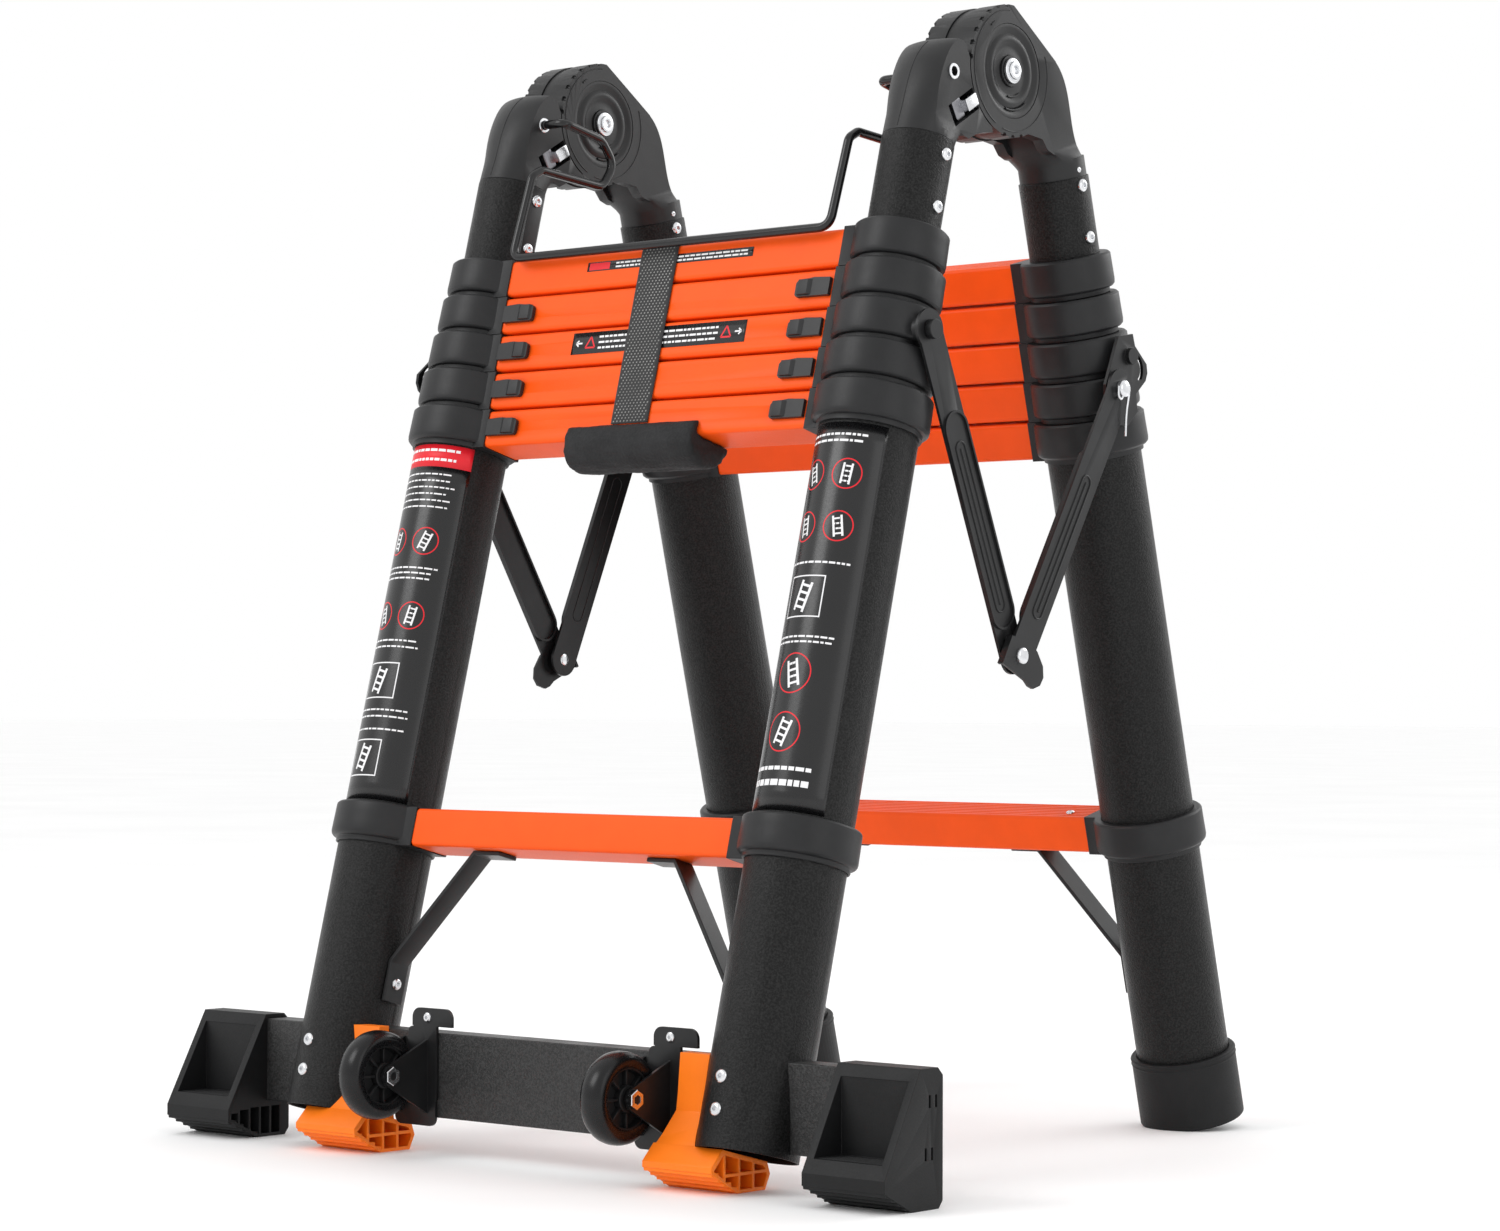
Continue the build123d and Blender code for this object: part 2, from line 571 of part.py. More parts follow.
def foot_pad():
    """Moulded pad under a front stile, with an upstand between the bar and the tube."""
    tube_end = (FRONT_FOOT_S + 0.2) / cos(radians(LEAN))

    def top_z(y):
        """Height of the tube's lower end face at y."""
        return -tube_end - y * sin(radians(LEAN)) / cos(radians(LEAN))

    block = [(-281, top_z(-281)), (-236, top_z(-236)), (-233, -752), (-238, -762), (-266, -762),
             (-292, -747), (-292, -743)]
    pad = upright_plate(block, PAD_X)
    front = BAR_Y[0] - 0.2
    profile = [(front, -674), (-262, -674), (-264, -712), (-281, top_z(-281)), (front, -750)]
    upstand = upright_plate(profile, (PAD_X[0], 176))
    trim = [(PAD_X[0] - 1, -670), (PAD_X[0] + 6.5, -670), (PAD_X[0] + 5.5, -700),
            (PAD_X[0] + 3.5, -727), (PAD_X[0] - 1, -746)]
    corner = make_face(Polyline(*trim, close=True))
    upstand -= Pos(0, -220, 0) * extrude(Plane.XZ * corner, amount=90, dir=(0, -1, 0))
    upstand -= Rot(-LEAN, 0, 0) * stile_rod(TUBE_R[1] + 0.2, 600, FRONT_FOOT_S + 0.2)
    pad += upstand
    return pad - world_box((0, BAR_HALF), BAR_Y, BAR_Z)


def wheel():
    """Tyred wheel with a recessed hub, on the X axis through its own centre."""
    half = WHEEL_WIDTH / 2
    points = [(AXLE_R + 0.05, half - 1), (9, half - 1), (9, half - 4), (18, half - 4), (20, half - 0.6),
              (27, half), (30, half - 2.6), (WHEEL_R, half - 6), (WHEEL_R, 6 - half), (30, 2.6 - half),
              (27, -half), (20, 0.6 - half), (18, 4 - half), (9, 4 - half), (9, 1 - half),
              (AXLE_R + 0.05, 1 - half)]
    face = make_face(Polyline(*points, close=True))
    return Rot(0, 90, 0) * revolve(Plane.XZ * face, Axis.Z)


def rounded_tab(x, y, z, radius):
    """Upright plate facing Y with round corners."""
    outline = RectangleRounded(x[1] - x[0], z[1] - z[0], radius)
    face = Plane.XZ * Pos((x[0] + x[1]) / 2, (z[0] + z[1]) / 2) * outline
    return Pos(0, y[1], 0) * extrude(face, amount=y[1] - y[0], dir=(0, -1, 0))


def wheel_bracket():
    """Folded fork on the bar's front face: back plate with tabs, two cheeks and the axle."""
    cheek = WHEEL_WIDTH / 2 + 1.0
    thick = 2.4
    front = BAR_Y[0] - 0.1
    depth = (front - thick, front)
    plate = rounded_tab((WHEEL_X - 19, WHEEL_X + 21), depth, (BAR_Z[0] - 6, BAR_Z[1] - 12), 6)
    plate += rounded_tab((WHEEL_X - 6, WHEEL_X + 22), depth, (BAR_Z[0] + 10, BAR_Z[1] + 3.8), 4)
    tab = rounded_tab((WHEEL_X - 2, WHEEL_X + 37), depth, (BAR_Z[1] - 6, BAR_Z[1] + 17), 7)
    keep = world_box((WHEEL_X - 3, WHEEL_X + 38), depth, (BAR_Z[1] + 4.3, BAR_Z[1] + 20))
    plate += tab & keep
    plate += world_box((WHEEL_X - 1, WHEEL_X + 22), depth, (BAR_Z[1] - 5, BAR_Z[1] + 6))
    outline = [(front, WHEEL_Z + 24), (WHEEL_Y - 4, WHEEL_Z + 6), (WHEEL_Y - 7, WHEEL_Z),
               (WHEEL_Y - 4, WHEEL_Z - 6), (front, WHEEL_Z - 30)]
    for sign in (-1, 1):
        near = WHEEL_X + sign * cheek
        plate += upright_plate(outline, sorted((near, near + sign * thick)))
    plate -= rod_at((WHEEL_Y, WHEEL_Z), WHEEL_R + 1.0, (WHEEL_X - cheek, WHEEL_X + cheek))
    axle_end = cheek + thick
    plate += rod_at((WHEEL_Y, WHEEL_Z), AXLE_R, (WHEEL_X - axle_end, WHEEL_X + axle_end))
    return plate + rod_at((WHEEL_Y, WHEEL_Z), 6.5, (WHEEL_X + axle_end, WHEEL_X + axle_end + 3))


def back_cap():
    """Rubber cup on the end of a back stile, worn flat where it meets the floor."""
    cup = stile_rod(CAP_R, *CAP_S) - stile_rod(TUBE_R[1] + 0.02, CAP_S[0] - 1, BACK_FOOT_S + 0.1)
    floor = Pos(0, 0, -HINGE_Z - 50) * Box(1000, 1000, 100)
    return (Rot(LEAN, 0, 0) * Rot(0, 0, 180) * cup) - floor


def write_base():
    write("stabiliser_bar", [from_hinge(stabiliser_bar())])
    write("stabiliser_feet", [from_hinge(part) for part in both_sides(end_foot())])
    write("front_foot_pads", [from_hinge(part) for part in both_sides(foot_pad())])
    write("back_foot_caps", [from_hinge(part) for part in both_sides(back_cap())])
    right = wheel_bracket()
    left = Pos(-2 * WHEEL_X, 0, 0) * right
    write("wheel_brackets", [from_hinge(right), from_hinge(left)])
    for hand, sign in (("right", 1), ("left", -1)):
        write(f"{hand}_wheel", [from_hinge(Pos(sign * WHEEL_X, WHEEL_Y, WHEEL_Z) * wheel())])


# ---- strap and carry handle ----
STRAP_X = (-28.0, 7.0)
HANDLE_X = (-68.0, 57.0)


def strap():
    """Webbing over the top rung and down the front of the stack."""
    front = RUNG_N + RUNG_DEPTH / 2 + 0.3
    rear = RUNG_N - RUNG_DEPTH / 2 - 0.3
    top = RUNG_TOP - 0.3
    low = rung_top(1) + 16.5
    thick = 1.6
    hook = top + 22
    outline = [(front, low), (front, top), (rear, top), (rear, hook), (rear - thick, hook),
               (rear - thick, top - thick), (front + thick, top - thick), (front + thick, low)]
    return side_plate(outline, STRAP_X)


def handle():
    """Padded grip wrapped round the lowest rung of the stack."""
    top = rung_top(1)
    face = RUNG_N + RUNG_DEPTH / 2 + 0.3
    back = RUNG_N - RUNG_DEPTH / 2 - 0.3
    under = top + RUNG_HEIGHT + 0.3
    outline = [(face, top + 17), (face + 6.5, top + 17), (face + 8.2, under + 3), (face + 5, under + 12),
               (face - 2, under + 18), (face - 12, under + 21), (back + 16, under + 20),
               (back + 8, under + 15), (back + 2, under + 7), (back, under), (face, under)]
    return side_plate(outline, HANDLE_X)


def write_soft():
    write("carry_strap", [place("front", strap())])
    write("carry_handle", [place("front", handle())])


write_section("front")
write_section("back")
write_hinges()
write_stays()
write_base()
write_soft()
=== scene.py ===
"""Looks of the telescopic A-frame ladder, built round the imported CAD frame.

Lengths in the section frame are millimetres: x along the hinge axis, n outward from it
and s down along the stiles. Everything is turned into metres in the row frame by piece().
"""

import json
import math
import random

import bmesh
import bpy
import numpy as np
from mathutils import Matrix, Vector, noise as mnoise


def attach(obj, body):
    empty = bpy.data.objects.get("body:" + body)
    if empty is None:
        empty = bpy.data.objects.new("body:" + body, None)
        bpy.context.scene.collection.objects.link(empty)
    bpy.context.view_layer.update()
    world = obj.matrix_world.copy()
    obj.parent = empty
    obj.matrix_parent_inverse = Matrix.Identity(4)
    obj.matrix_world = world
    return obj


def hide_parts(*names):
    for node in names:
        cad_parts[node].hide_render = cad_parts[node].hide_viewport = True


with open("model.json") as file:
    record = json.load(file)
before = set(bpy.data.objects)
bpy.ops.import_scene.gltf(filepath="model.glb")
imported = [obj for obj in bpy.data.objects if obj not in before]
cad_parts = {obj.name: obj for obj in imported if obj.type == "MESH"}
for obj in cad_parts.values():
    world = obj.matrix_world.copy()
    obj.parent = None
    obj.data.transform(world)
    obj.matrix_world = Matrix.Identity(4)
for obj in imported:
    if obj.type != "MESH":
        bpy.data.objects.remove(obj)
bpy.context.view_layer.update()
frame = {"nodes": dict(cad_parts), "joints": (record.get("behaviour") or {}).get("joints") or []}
JOINTS = {j["name"]: j for j in frame["joints"]}
NODES = frame["nodes"]

# ---- section frames, read from the record's joints ----
HINGE = Vector(JOINTS["fold"]["pos_m"]) * 1000
UP_STILE = Vector(JOINTS["front_top_slide"]["axis"])
LEAN = math.atan2(UP_STILE.y, UP_STILE.z)
HOME = Matrix.Translation(HINGE)
TO_WORLD = {
    "front": HOME @ Matrix.Rotation(-LEAN, 4, "X"),
    "back": HOME @ Matrix.Rotation(LEAN, 4, "X") @ Matrix.Rotation(math.pi, 4, "Z"),
    "upright": HOME,
}
MM = 0.001
TO_ROW = {side: Matrix.Scale(MM, 4) @ turn for side, turn in TO_WORLD.items()}
SIDES = ("front", "back")
HANDS = (("right", 1), ("left", -1))

# dimensions that the CAD model has and the pieces here share
STILE_X, STILE_N = 195.0, 61.0
TUBE_R = {1: 34.5, 2: 32.25, 3: 30.0, 4: 27.75, 5: 25.5}
RUNG_TOP, PITCH, RUNG_HEIGHT, RUNG_FACE = 141.2, 29.3, 27.3, 79.5
COLLAR_R, COLLAR_STEP = 33.0, 1.87
FRONT_PIVOT, REAR_PIVOT = (67.0, 216.0), (35.5, 235.5)     # n, s of a stay's ends
CHEEK_HALF, CHEEK_RECESS = 22.0, 2.4                        # of the hinge castings, along x
STAY_BACK = 236.4                                           # x of the inner link's back face
STAY_FACE = {"inner": 238.6, "outer": 245.4}                # x of each link's outward face
BAR_FRONT = -252.5                                          # y from the hinge axis
WHEEL_X, WHEEL_Y, WHEEL_Z = 114.4, -291.0, -704.0
FOOT_X, PAD_X = (270.0, 337.0), (136.0, 196.0)
FLOOR_Z, LEDGE_Z = 762.0, -731.0                            # drop to the floor; z of the feet's ledge


def rung_top(stage):
    return RUNG_TOP + PITCH * (5 - stage)


def rung_half(stage):
    return 159.0 - 1.5 * (5 - stage)


def stage_body(side, stage):
    if stage == 1:
        return f"{side}_base"
    return f"{side}_top" if stage == 5 else f"{side}_stage{stage}"


# ---- materials ----
def new_material(name):
    mat = bpy.data.materials.new(name)
    mat.use_nodes = True
    nodes, links = mat.node_tree.nodes, mat.node_tree.links
    shader = nodes["Principled BSDF"]
    coords = nodes.new("ShaderNodeTexCoord")
    return mat, nodes, links, shader, coords.outputs["Object"]


def noise(nodes, links, coords, scale, detail=3.0, rough=0.55):
    node = nodes.new("ShaderNodeTexNoise")
    node.inputs["Scale"].default_value = scale
    node.inputs["Detail"].default_value = detail
    node.inputs["Roughness"].default_value = rough
    links.new(coords, node.inputs["Vector"])
    return node.outputs["Fac"]


def ramp(nodes, links, value, low, high, at=(0.3, 0.7)):
    """Colour ramp from low to high, which are grey values or colours."""
    node = nodes.new("ShaderNodeValToRGB")
    for element, place, colour in zip(node.color_ramp.elements, at, (low, high)):
        element.position = place
        element.color = (colour,) * 3 + (1,) if isinstance(colour, float) else (*colour, 1)
    links.new(value, node.inputs["Fac"])
    return node.outputs["Color"]


def bump(nodes, links, shader, height, strength, distance):
    node = nodes.new("ShaderNodeBump")
    node.inputs["Strength"].default_value = strength
    node.inputs["Distance"].default_value = distance
    links.new(height, node.inputs["Height"])
    links.new(node.outputs["Normal"], shader.inputs["Normal"])


def coat_of_paint(name, colour, rough, grain, depth, spread, specular, metallic=0.0):
    """Paint or plastic: mottled colour, uneven roughness and a fine grain in the surface."""
    mat, nodes, links, shader, coords = new_material(name)
    broad = noise(nodes, links, coords, 38.0, 4.0)
    low = tuple(c * (1 - spread) for c in colour)
    high = tuple(min(1.0, c * (1 + spread)) for c in colour)
    links.new(ramp(nodes, links, broad, low, high), shader.inputs["Base Color"])
    fine = noise(nodes, links, coords, grain, 2.0, 0.6)
    links.new(ramp(nodes, links, fine, rough * 0.85, min(1.0, rough * 1.18)), shader.inputs["Roughness"])
    bump(nodes, links, shader, fine, 0.5, depth)
    shader.inputs["Metallic"].default_value = metallic
    shader.inputs["Specular IOR Level"].default_value = specular
    return mat


def textured_paint(name, low, high, rough, specular):
    """Hammered powder coat: a fine speckle in both the colour and the surface."""
    mat, nodes, links, shader, coords = new_material(name)
    fine = noise(nodes, links, coords, 760.0, 2.0, 0.7)
    broad = noise(nodes, links, coords, 26.0, 3.0)
    links.new(ramp(nodes, links, fine, low, high, (0.4, 0.62)), shader.inputs["Base Color"])
    links.new(ramp(nodes, links, broad, rough * 0.8, rough * 1.2), shader.inputs["Roughness"])
    bump(nodes, links, shader, fine, 0.75, 0.0008)
    shader.inputs["Specular IOR Level"].default_value = specular
    return mat


def bright_metal(name, colour, rough):
    mat, nodes, links, shader, coords = new_material(name)
    fine = noise(nodes, links, coords, 1800.0, 2.0)
    broad = noise(nodes, links, coords, 90.0, 3.0)
    links.new(ramp(nodes, links, broad, tuple(c * 0.8 for c in colour), colour), shader.inputs["Base Color"])
    links.new(ramp(nodes, links, fine, rough * 0.7, rough * 1.4), shader.inputs["Roughness"])
    bump(nodes, links, shader, fine, 0.25, 0.00003)
    shader.inputs["Metallic"].default_value = 1.0
    return mat


def webbing(name):
    """Black woven strap; its ribs and flecks are in the mesh, fibres and fuzz are here."""
    mat, nodes, links, shader, coords = new_material(name)
    fibres = noise(nodes, links, coords, 2600.0, 3.0)
    links.new(ramp(nodes, links, fibres, (0.004, 0.004, 0.0045), (0.02, 0.02, 0.021)),
              shader.inputs["Base Color"])
    bump(nodes, links, shader, fibres, 0.6, 0.0002)
    shader.inputs["Roughness"].default_value = 0.8
    shader.inputs["Sheen Weight"].default_value = 0.2
    return mat


# name used below: slot in the record, then what coat_of_paint takes
PAINTS = {
    "collar": ("collar_plastic", "collar_plastic",
               (0.0135, 0.0137, 0.0145), 0.42, 1500.0, 0.00006, 0.2, 0.3),
    "casting": ("hinge_casting", "hinge_casting", (0.013, 0.0132, 0.0138), 0.42, 1100.0, 0.0001, 0.2, 0.34),
    "steel_black": ("stay_steel", "painted_steel",
                    (0.013, 0.0133, 0.014), 0.34, 1400.0, 0.00005, 0.25, 0.45, 0.3),
    "wire": ("black_steel", "wire_paint", (0.006, 0.006, 0.0065), 0.2, 900.0, 0.00003, 0.2, 0.5, 0.1),
    "orange": ("rung_aluminium", "orange_paint", (0.93, 0.093, 0.004), 0.42, 1200.0, 0.00004, 0.04, 0.22),
    "pad": ("orange_plastic", "orange_plastic", (0.98, 0.2, 0.006), 0.45, 1000.0, 0.00006, 0.05, 0.3),
    "button": ("button_plastic", "button_plastic", (0.016, 0.0162, 0.017), 0.42, 1300.0, 0.00005, 0.2, 0.4),
    "rubber": ("foot_rubber", "foot_rubber", (0.0085, 0.0087, 0.0092), 0.5, 1000.0, 0.0001, 0.2, 0.24),
    "tyre": ("wheel_plastic", "tyre_rubber", (0.004, 0.004, 0.0045), 0.26, 1200.0, 0.00003, 0.2, 0.32),
    "grip": ("grip_foam", "grip_foam", (0.02, 0.0202, 0.021), 0.7, 520.0, 0.0008, 0.25, 0.2),
    "label": ("collar_plastic", "label_black", (0.004, 0.004, 0.0045), 0.25, 600.0, 0.00002, 0.2, 0.5),
    "label_red": ("orange_plastic", "label_red", (0.72, 0.014, 0.025), 0.35, 600.0, 0.00002, 0.05, 0.3),
    "label_white": ("bright_steel", "label_white", (0.8, 0.8, 0.81), 0.45, 600.0, 0.00002, 0.04, 0.3),
    "fleck": ("webbing", "webbing_fleck", (0.26, 0.26, 0.25), 0.8, 900.0, 0.00005, 0.3, 0.2),
}
LOOKS = {key: (slot, coat_of_paint(*paint)) for key, (slot, *paint) in PAINTS.items()}
LOOKS.update({
    "tube": ("tube_aluminium", textured_paint("textured_black", 0.003, 0.017, 0.34, 0.19)),
    "bar": ("tube_aluminium", textured_paint("textured_bar", 0.009, 0.036, 0.42, 0.42)),
    "bright": ("bright_steel", bright_metal("bright_steel", (0.8, 0.81, 0.83), 0.2)),
    "zinc": ("bright_steel", bright_metal("zinc_steel", (0.3, 0.3, 0.32), 0.34)),
    "webbing": ("webbing", webbing("webbing_weave")),
})


# ---- making pieces ----
def finish_piece(name, mesh, mat, body, replaced=(), angle=32.0):
    """Give a mesh in row-frame metres its shading and material, and let it ride on its body."""
    mesh.polygons.foreach_set("use_smooth", [True] * len(mesh.polygons))
    mesh.set_sharp_from_angle(angle=math.radians(angle))
    mesh.materials.clear()
    mesh.materials.append(LOOKS[mat][1])
    obj = bpy.data.objects.new(name, mesh)
    bpy.context.scene.collection.objects.link(obj)
    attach(obj, body)
    if replaced:
        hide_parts(*replaced)
    return obj


def piece(name, bm, side, mat, body, replaced=(), angle=32.0, turn=Matrix.Identity(4)):
    """As finish_piece, from a bmesh in section-frame millimetres."""
    bmesh.ops.recalc_face_normals(bm, faces=bm.faces)
    mesh = bpy.data.meshes.new(name)
    bm.transform(TO_ROW[side] @ turn)
    bm.to_mesh(mesh)
    bm.free()
    return finish_piece(name, mesh, mat, body, replaced, angle)


def join(*parts):
    """One bmesh from several."""
    whole = bmesh.new()
    for part in parts:
        mesh = bpy.data.meshes.new("part")
        part.to_mesh(mesh)
        part.free()
        whole.from_mesh(mesh)
        bpy.data.meshes.remove(mesh)
    return whole


def soften(bm, width, segments=2):
    """Round the edges that are sharper than 30 degrees."""
    bmesh.ops.recalc_face_normals(bm, faces=bm.faces)
    edges = [e for e in bm.edges if len(e.link_faces) == 2 and e.calc_face_angle(0) > math.radians(30)]
    bmesh.ops.bevel(bm, geom=edges, offset=width, segments=segments, affect="EDGES",
                    profile=0.6, clamp_overlap=True)
    return bm


def skin(bm, one, two):
    """Faces between two closed rings of vertices."""
    for k in range(len(one)):
        j = (k + 1) % len(one)
        bm.faces.new((one[k], one[j], two[j], two[k]))


def loft(bm, rings):
    """Faces along a row of closed rings, and across its two ends."""
    for here, there in zip(rings, rings[1:]):
        skin(bm, here, there)
    bm.faces.new(rings[0])
    bm.faces.new(rings[-1])


def circle(count):
    """Cosine and sine of evenly spaced angles."""
    angles = (2 * math.pi * i / count for i in range(count))
    return [(math.cos(a), math.sin(a)) for a in angles]


def lathe(profile, segments=48, place=Matrix.Identity(4)):
    """Turn a closed outline of (radius, height) points about Z."""
    bm = bmesh.new()
    rings = [[bm.verts.new((r * c, r * s, z)) for r, z in profile] for c, s in circle(segments)]
    count = len(profile)
    for i in range(segments):
        here, there = rings[i], rings[(i + 1) % segments]
        for j in range(count):
            k = (j + 1) % count
            bm.faces.new((here[j], there[j], there[k], here[k]))
    bmesh.ops.remove_doubles(bm, verts=bm.verts, dist=1e-4)
    bm.transform(place)
    return bm


def block(x, n, s, width, segments=2):
    """Box in the section frame, from three (low, high) pairs, with rounded edges."""
    bm = bmesh.new()
    bmesh.ops.create_cube(bm, size=1.0)
    size = (x[1] - x[0], n[1] - n[0], s[1] - s[0])
    centre = ((x[0] + x[1]) / 2, -(n[0] + n[1]) / 2, -(s[0] + s[1]) / 2)
    bm.transform(Matrix.Translation(centre) @ Matrix.Diagonal((*size, 1)))
    return soften(bm, width, segments)


def plate(points, low, high, vert=lambda n, s, x: (x, -n, -s)):
    """Prism from an outline of (n, s) points along X, unless vert places the points otherwise."""
    bm = bmesh.new()
    one = [bm.verts.new(vert(a, b, low)) for a, b in points]
    two = [bm.verts.new(vert(a, b, high)) for a, b in points]
    bm.faces.new(one)
    bm.faces.new(two)
    skin(bm, one, two)
    return bm


def along_x(x, n, s):
    """Matrix that carries a lathe's Z axis to +X at a point of the section frame."""
    return Matrix.Translation((x, -n, -s)) @ Matrix.Rotation(math.radians(90), 4, "Y")


def along_n(x, n, s):
    """Matrix that carries a lathe's Z axis outward (n) at a point of the section frame."""
    return Matrix.Translation((x, -n, -s)) @ Matrix.Rotation(math.radians(90), 4, "X")


def refined(node, body, width, names, segments=2, angle=33.0):
    """Copies of a CAD node's solids with welded faces and rounded edges, in pieces.

    names is a function from a solid's (lowest, highest) corner in the row frame to the
    name and material of the piece it belongs to.
    """
    bm = bmesh.new()
    bm.from_mesh(NODES[node].data)
    bmesh.ops.remove_doubles(bm, verts=bm.verts, dist=2e-6)
    bmesh.ops.dissolve_degenerate(bm, edges=bm.edges, dist=1e-6)
    bmesh.ops.dissolve_limit(bm, verts=bm.verts, edges=bm.edges, angle_limit=math.radians(0.6))
    groups = {}
    seen = set()
    for first in bm.verts:          # in vertex order, so that each run makes the pieces in one order
        if first in seen:
            continue
        seen.add(first)
        stack, island = [first], [first]
        while stack:
            for edge in stack.pop().link_edges:
                for vert in edge.verts:
                    if vert not in seen:
                        seen.add(vert)
                        stack.append(vert)
                        island.append(vert)
        co = np.array([v.co for v in island])
        groups.setdefault(names(Vector(co.min(0)), Vector(co.max(0))), []).extend(island)
    made = []
    bm.verts.index_update()
    for (name, mat), verts in groups.items():
        wanted = {v.index for v in verts}
        part = bm.copy()
        part.verts.index_update()
        bmesh.ops.delete(part, geom=[v for v in part.verts if v.index not in wanted], context="VERTS")
        mesh = bpy.data.meshes.new(name)
        part.to_mesh(mesh)
        part.free()
        obj = finish_piece(name, mesh, mat, body, (node,), angle)
        if width:
            mod = obj.modifiers.new("edges", "BEVEL")
            mod.width = width * MM
            mod.segments = segments
            mod.limit_method = "ANGLE"
            mod.angle_limit = math.radians(angle)
            mod.miter_outer = "MITER_ARC"
            mod.use_clamp_overlap = True
        made.append(obj)
    bm.free()
    return made


def rounded(route, radii, steps=10):
    """Polyline in the section frame with each corner rounded by its radius."""
    line = [route[0]]
    for before, here, after, radius in zip(route, route[1:], route[2:], radii):
        back, ahead = (before - here).normalized(), (after - here).normalized()
        cut = radius * math.tan((math.pi - back.angle(ahead)) / 2)
        start, end = here + back * cut, here + ahead * cut
        for k in range(steps + 1):
            t = k / steps
            line.append(start.lerp(here, t).lerp(here.lerp(end, t), t))
    line.append(route[-1])
    return line


def sweep(line, radius, sides=18):
    bm = bmesh.new()
    normal = None
    rings = []
    for i, point in enumerate(line):
        ahead = line[min(i + 1, len(line) - 1)] - line[max(i - 1, 0)]
        ahead.normalize()
        if normal is None:
            normal = ahead.orthogonal().normalized()
        normal = (normal - ahead * normal.dot(ahead)).normalized()
        side = ahead.cross(normal)
        rings.append([bm.verts.new(point + (normal * c + side * s) * radius) for c, s in circle(sides)])
    loft(bm, rings)
    return bm


def baked(obj):
    """Mesh of a piece with its modifiers applied."""
    graph = bpy.context.evaluated_depsgraph_get()
    return bpy.data.meshes.new_from_object(obj.evaluated_get(graph), depsgraph=graph)


def carve(obj, cutters):
    """Cut solids given as bmeshes in row-frame metres out of a piece's mesh."""
    mesh = bpy.data.meshes.new("cutters")
    whole = join(*cutters)
    bmesh.ops.recalc_face_normals(whole, faces=whole.faces)
    whole.to_mesh(mesh)
    whole.free()
    knife = bpy.data.objects.new("cutters", mesh)
    bpy.context.scene.collection.objects.link(knife)
    kept = list(obj.modifiers)
    for mod in kept:
        mod.show_viewport = False
    cut = obj.modifiers.new("cut", "BOOLEAN")
    cut.operation = "DIFFERENCE"
    cut.solver = "EXACT"
    cut.object = knife
    result = baked(obj)
    obj.modifiers.remove(cut)
    for mod in kept:
        mod.show_viewport = True
    obj.data = result
    bpy.data.objects.remove(knife)
    bpy.data.meshes.remove(mesh)


def in_row(bm, side):
    """Move a bmesh from section-frame millimetres to row-frame metres."""
    bm.transform(TO_ROW[side])
    return bm


def upright_plate(points, low, high):
    """Prism along X from (y, z) points measured from the hinge axis."""
    return plate([(-y, -z) for y, z in points], low, high)


# ---- carried-over solids, refined ----
def tube_or_collar(side, stage):
    def names(low, high):
        hand = "right" if low.x > 0 else "left"
        if (high.z - low.z) > 0.2:
            return f"{side}_tube_{stage}_{hand}", "tube"
        band = "low" if low.z < 0.32 and stage == 1 else "top"
        return f"{side}_collar_{stage}_{band}_{hand}", "collar"
    return names


def one(name, mat):
    return lambda low, high: (name, mat)


def by_hand(name, mat):
    return lambda low, high: (f"{name}_{'right' if low.x + high.x > 0 else 'left'}", mat)


for SIDE in SIDES:
    refined(f"{SIDE}_base_tubes", f"{SIDE}_base", 0.5, tube_or_collar(SIDE, 1))
    refined(f"{SIDE}_base_collars", f"{SIDE}_base", 0.8, tube_or_collar(SIDE, 1))
    refined(f"{SIDE}_base_rungs", f"{SIDE}_base", 0.35,
            lambda low, high: (f"{SIDE}_rung_{'low' if low.z < 0.32 else 'stack_1'}", "orange"), 1)
    refined(f"{SIDE}_braces", f"{SIDE}_base", 0.6, by_hand(f"{SIDE}_brace", "steel_black"))
    for STAGE in (2, 3, 4, 5):
        PREFIX = f"{SIDE}_top" if STAGE == 5 else f"{SIDE}_stage{STAGE}"
        BODY = stage_body(SIDE, STAGE)
        refined(f"{PREFIX}_stiles", BODY, 0.8, tube_or_collar(SIDE, STAGE))
        refined(f"{PREFIX}_rung", BODY, 0.35, one(f"{SIDE}_rung_stack_{STAGE}", "orange"), 1)
    for STAGE in (1, 2, 3, 4):
        for HAND in ("right", "left"):
            refined(f"{SIDE}_button_{HAND}_{STAGE}", f"{SIDE}_{HAND}_button_{STAGE}_body", 0.9,
                    one(f"{SIDE}_release_button_{HAND}_{STAGE}", "button"), 3)

FRONT_ARMS = refined("front_hinge_castings", "front_top", 0.7, by_hand("front_hinge_arm", "casting"))
REAR_DRUMS = refined("rear_hinge_castings", "back_top", 0.6, by_hand("rear_hinge_drum", "casting"))
refined("stabiliser_bar", "front_base", 1.2, one("stabiliser_bar_tube", "bar"), 3)
END_FEET = refined("stabiliser_feet", "front_base", 1.0, by_hand("bar_end_foot", "rubber"), 2)
FOOT_PADS = refined("front_foot_pads", "front_base", 0.8, by_hand("front_foot_pad", "pad"), 2)
refined("back_foot_caps", "back_base", 1.0, by_hand("back_foot_cup", "rubber"), 3)
refined("wheel_brackets", "front_base", 0.6, by_hand("wheel_fork", "steel_black"))
for HAND in ("right", "left"):
    refined(f"{HAND}_stay_inner_link", f"{HAND}_inner_link", 0.4, one(f"{HAND}_stay_inner", "steel_black"))
    refined(f"{HAND}_stay_outer_link", f"{HAND}_outer_link", 0.4, one(f"{HAND}_stay_outer", "steel_black"))
for SIDE in SIDES:
    refined(f"{SIDE}_stay_mounts", f"{SIDE}_stage3", 0.4, by_hand(f"{SIDE}_stay_mount", "steel_black"))

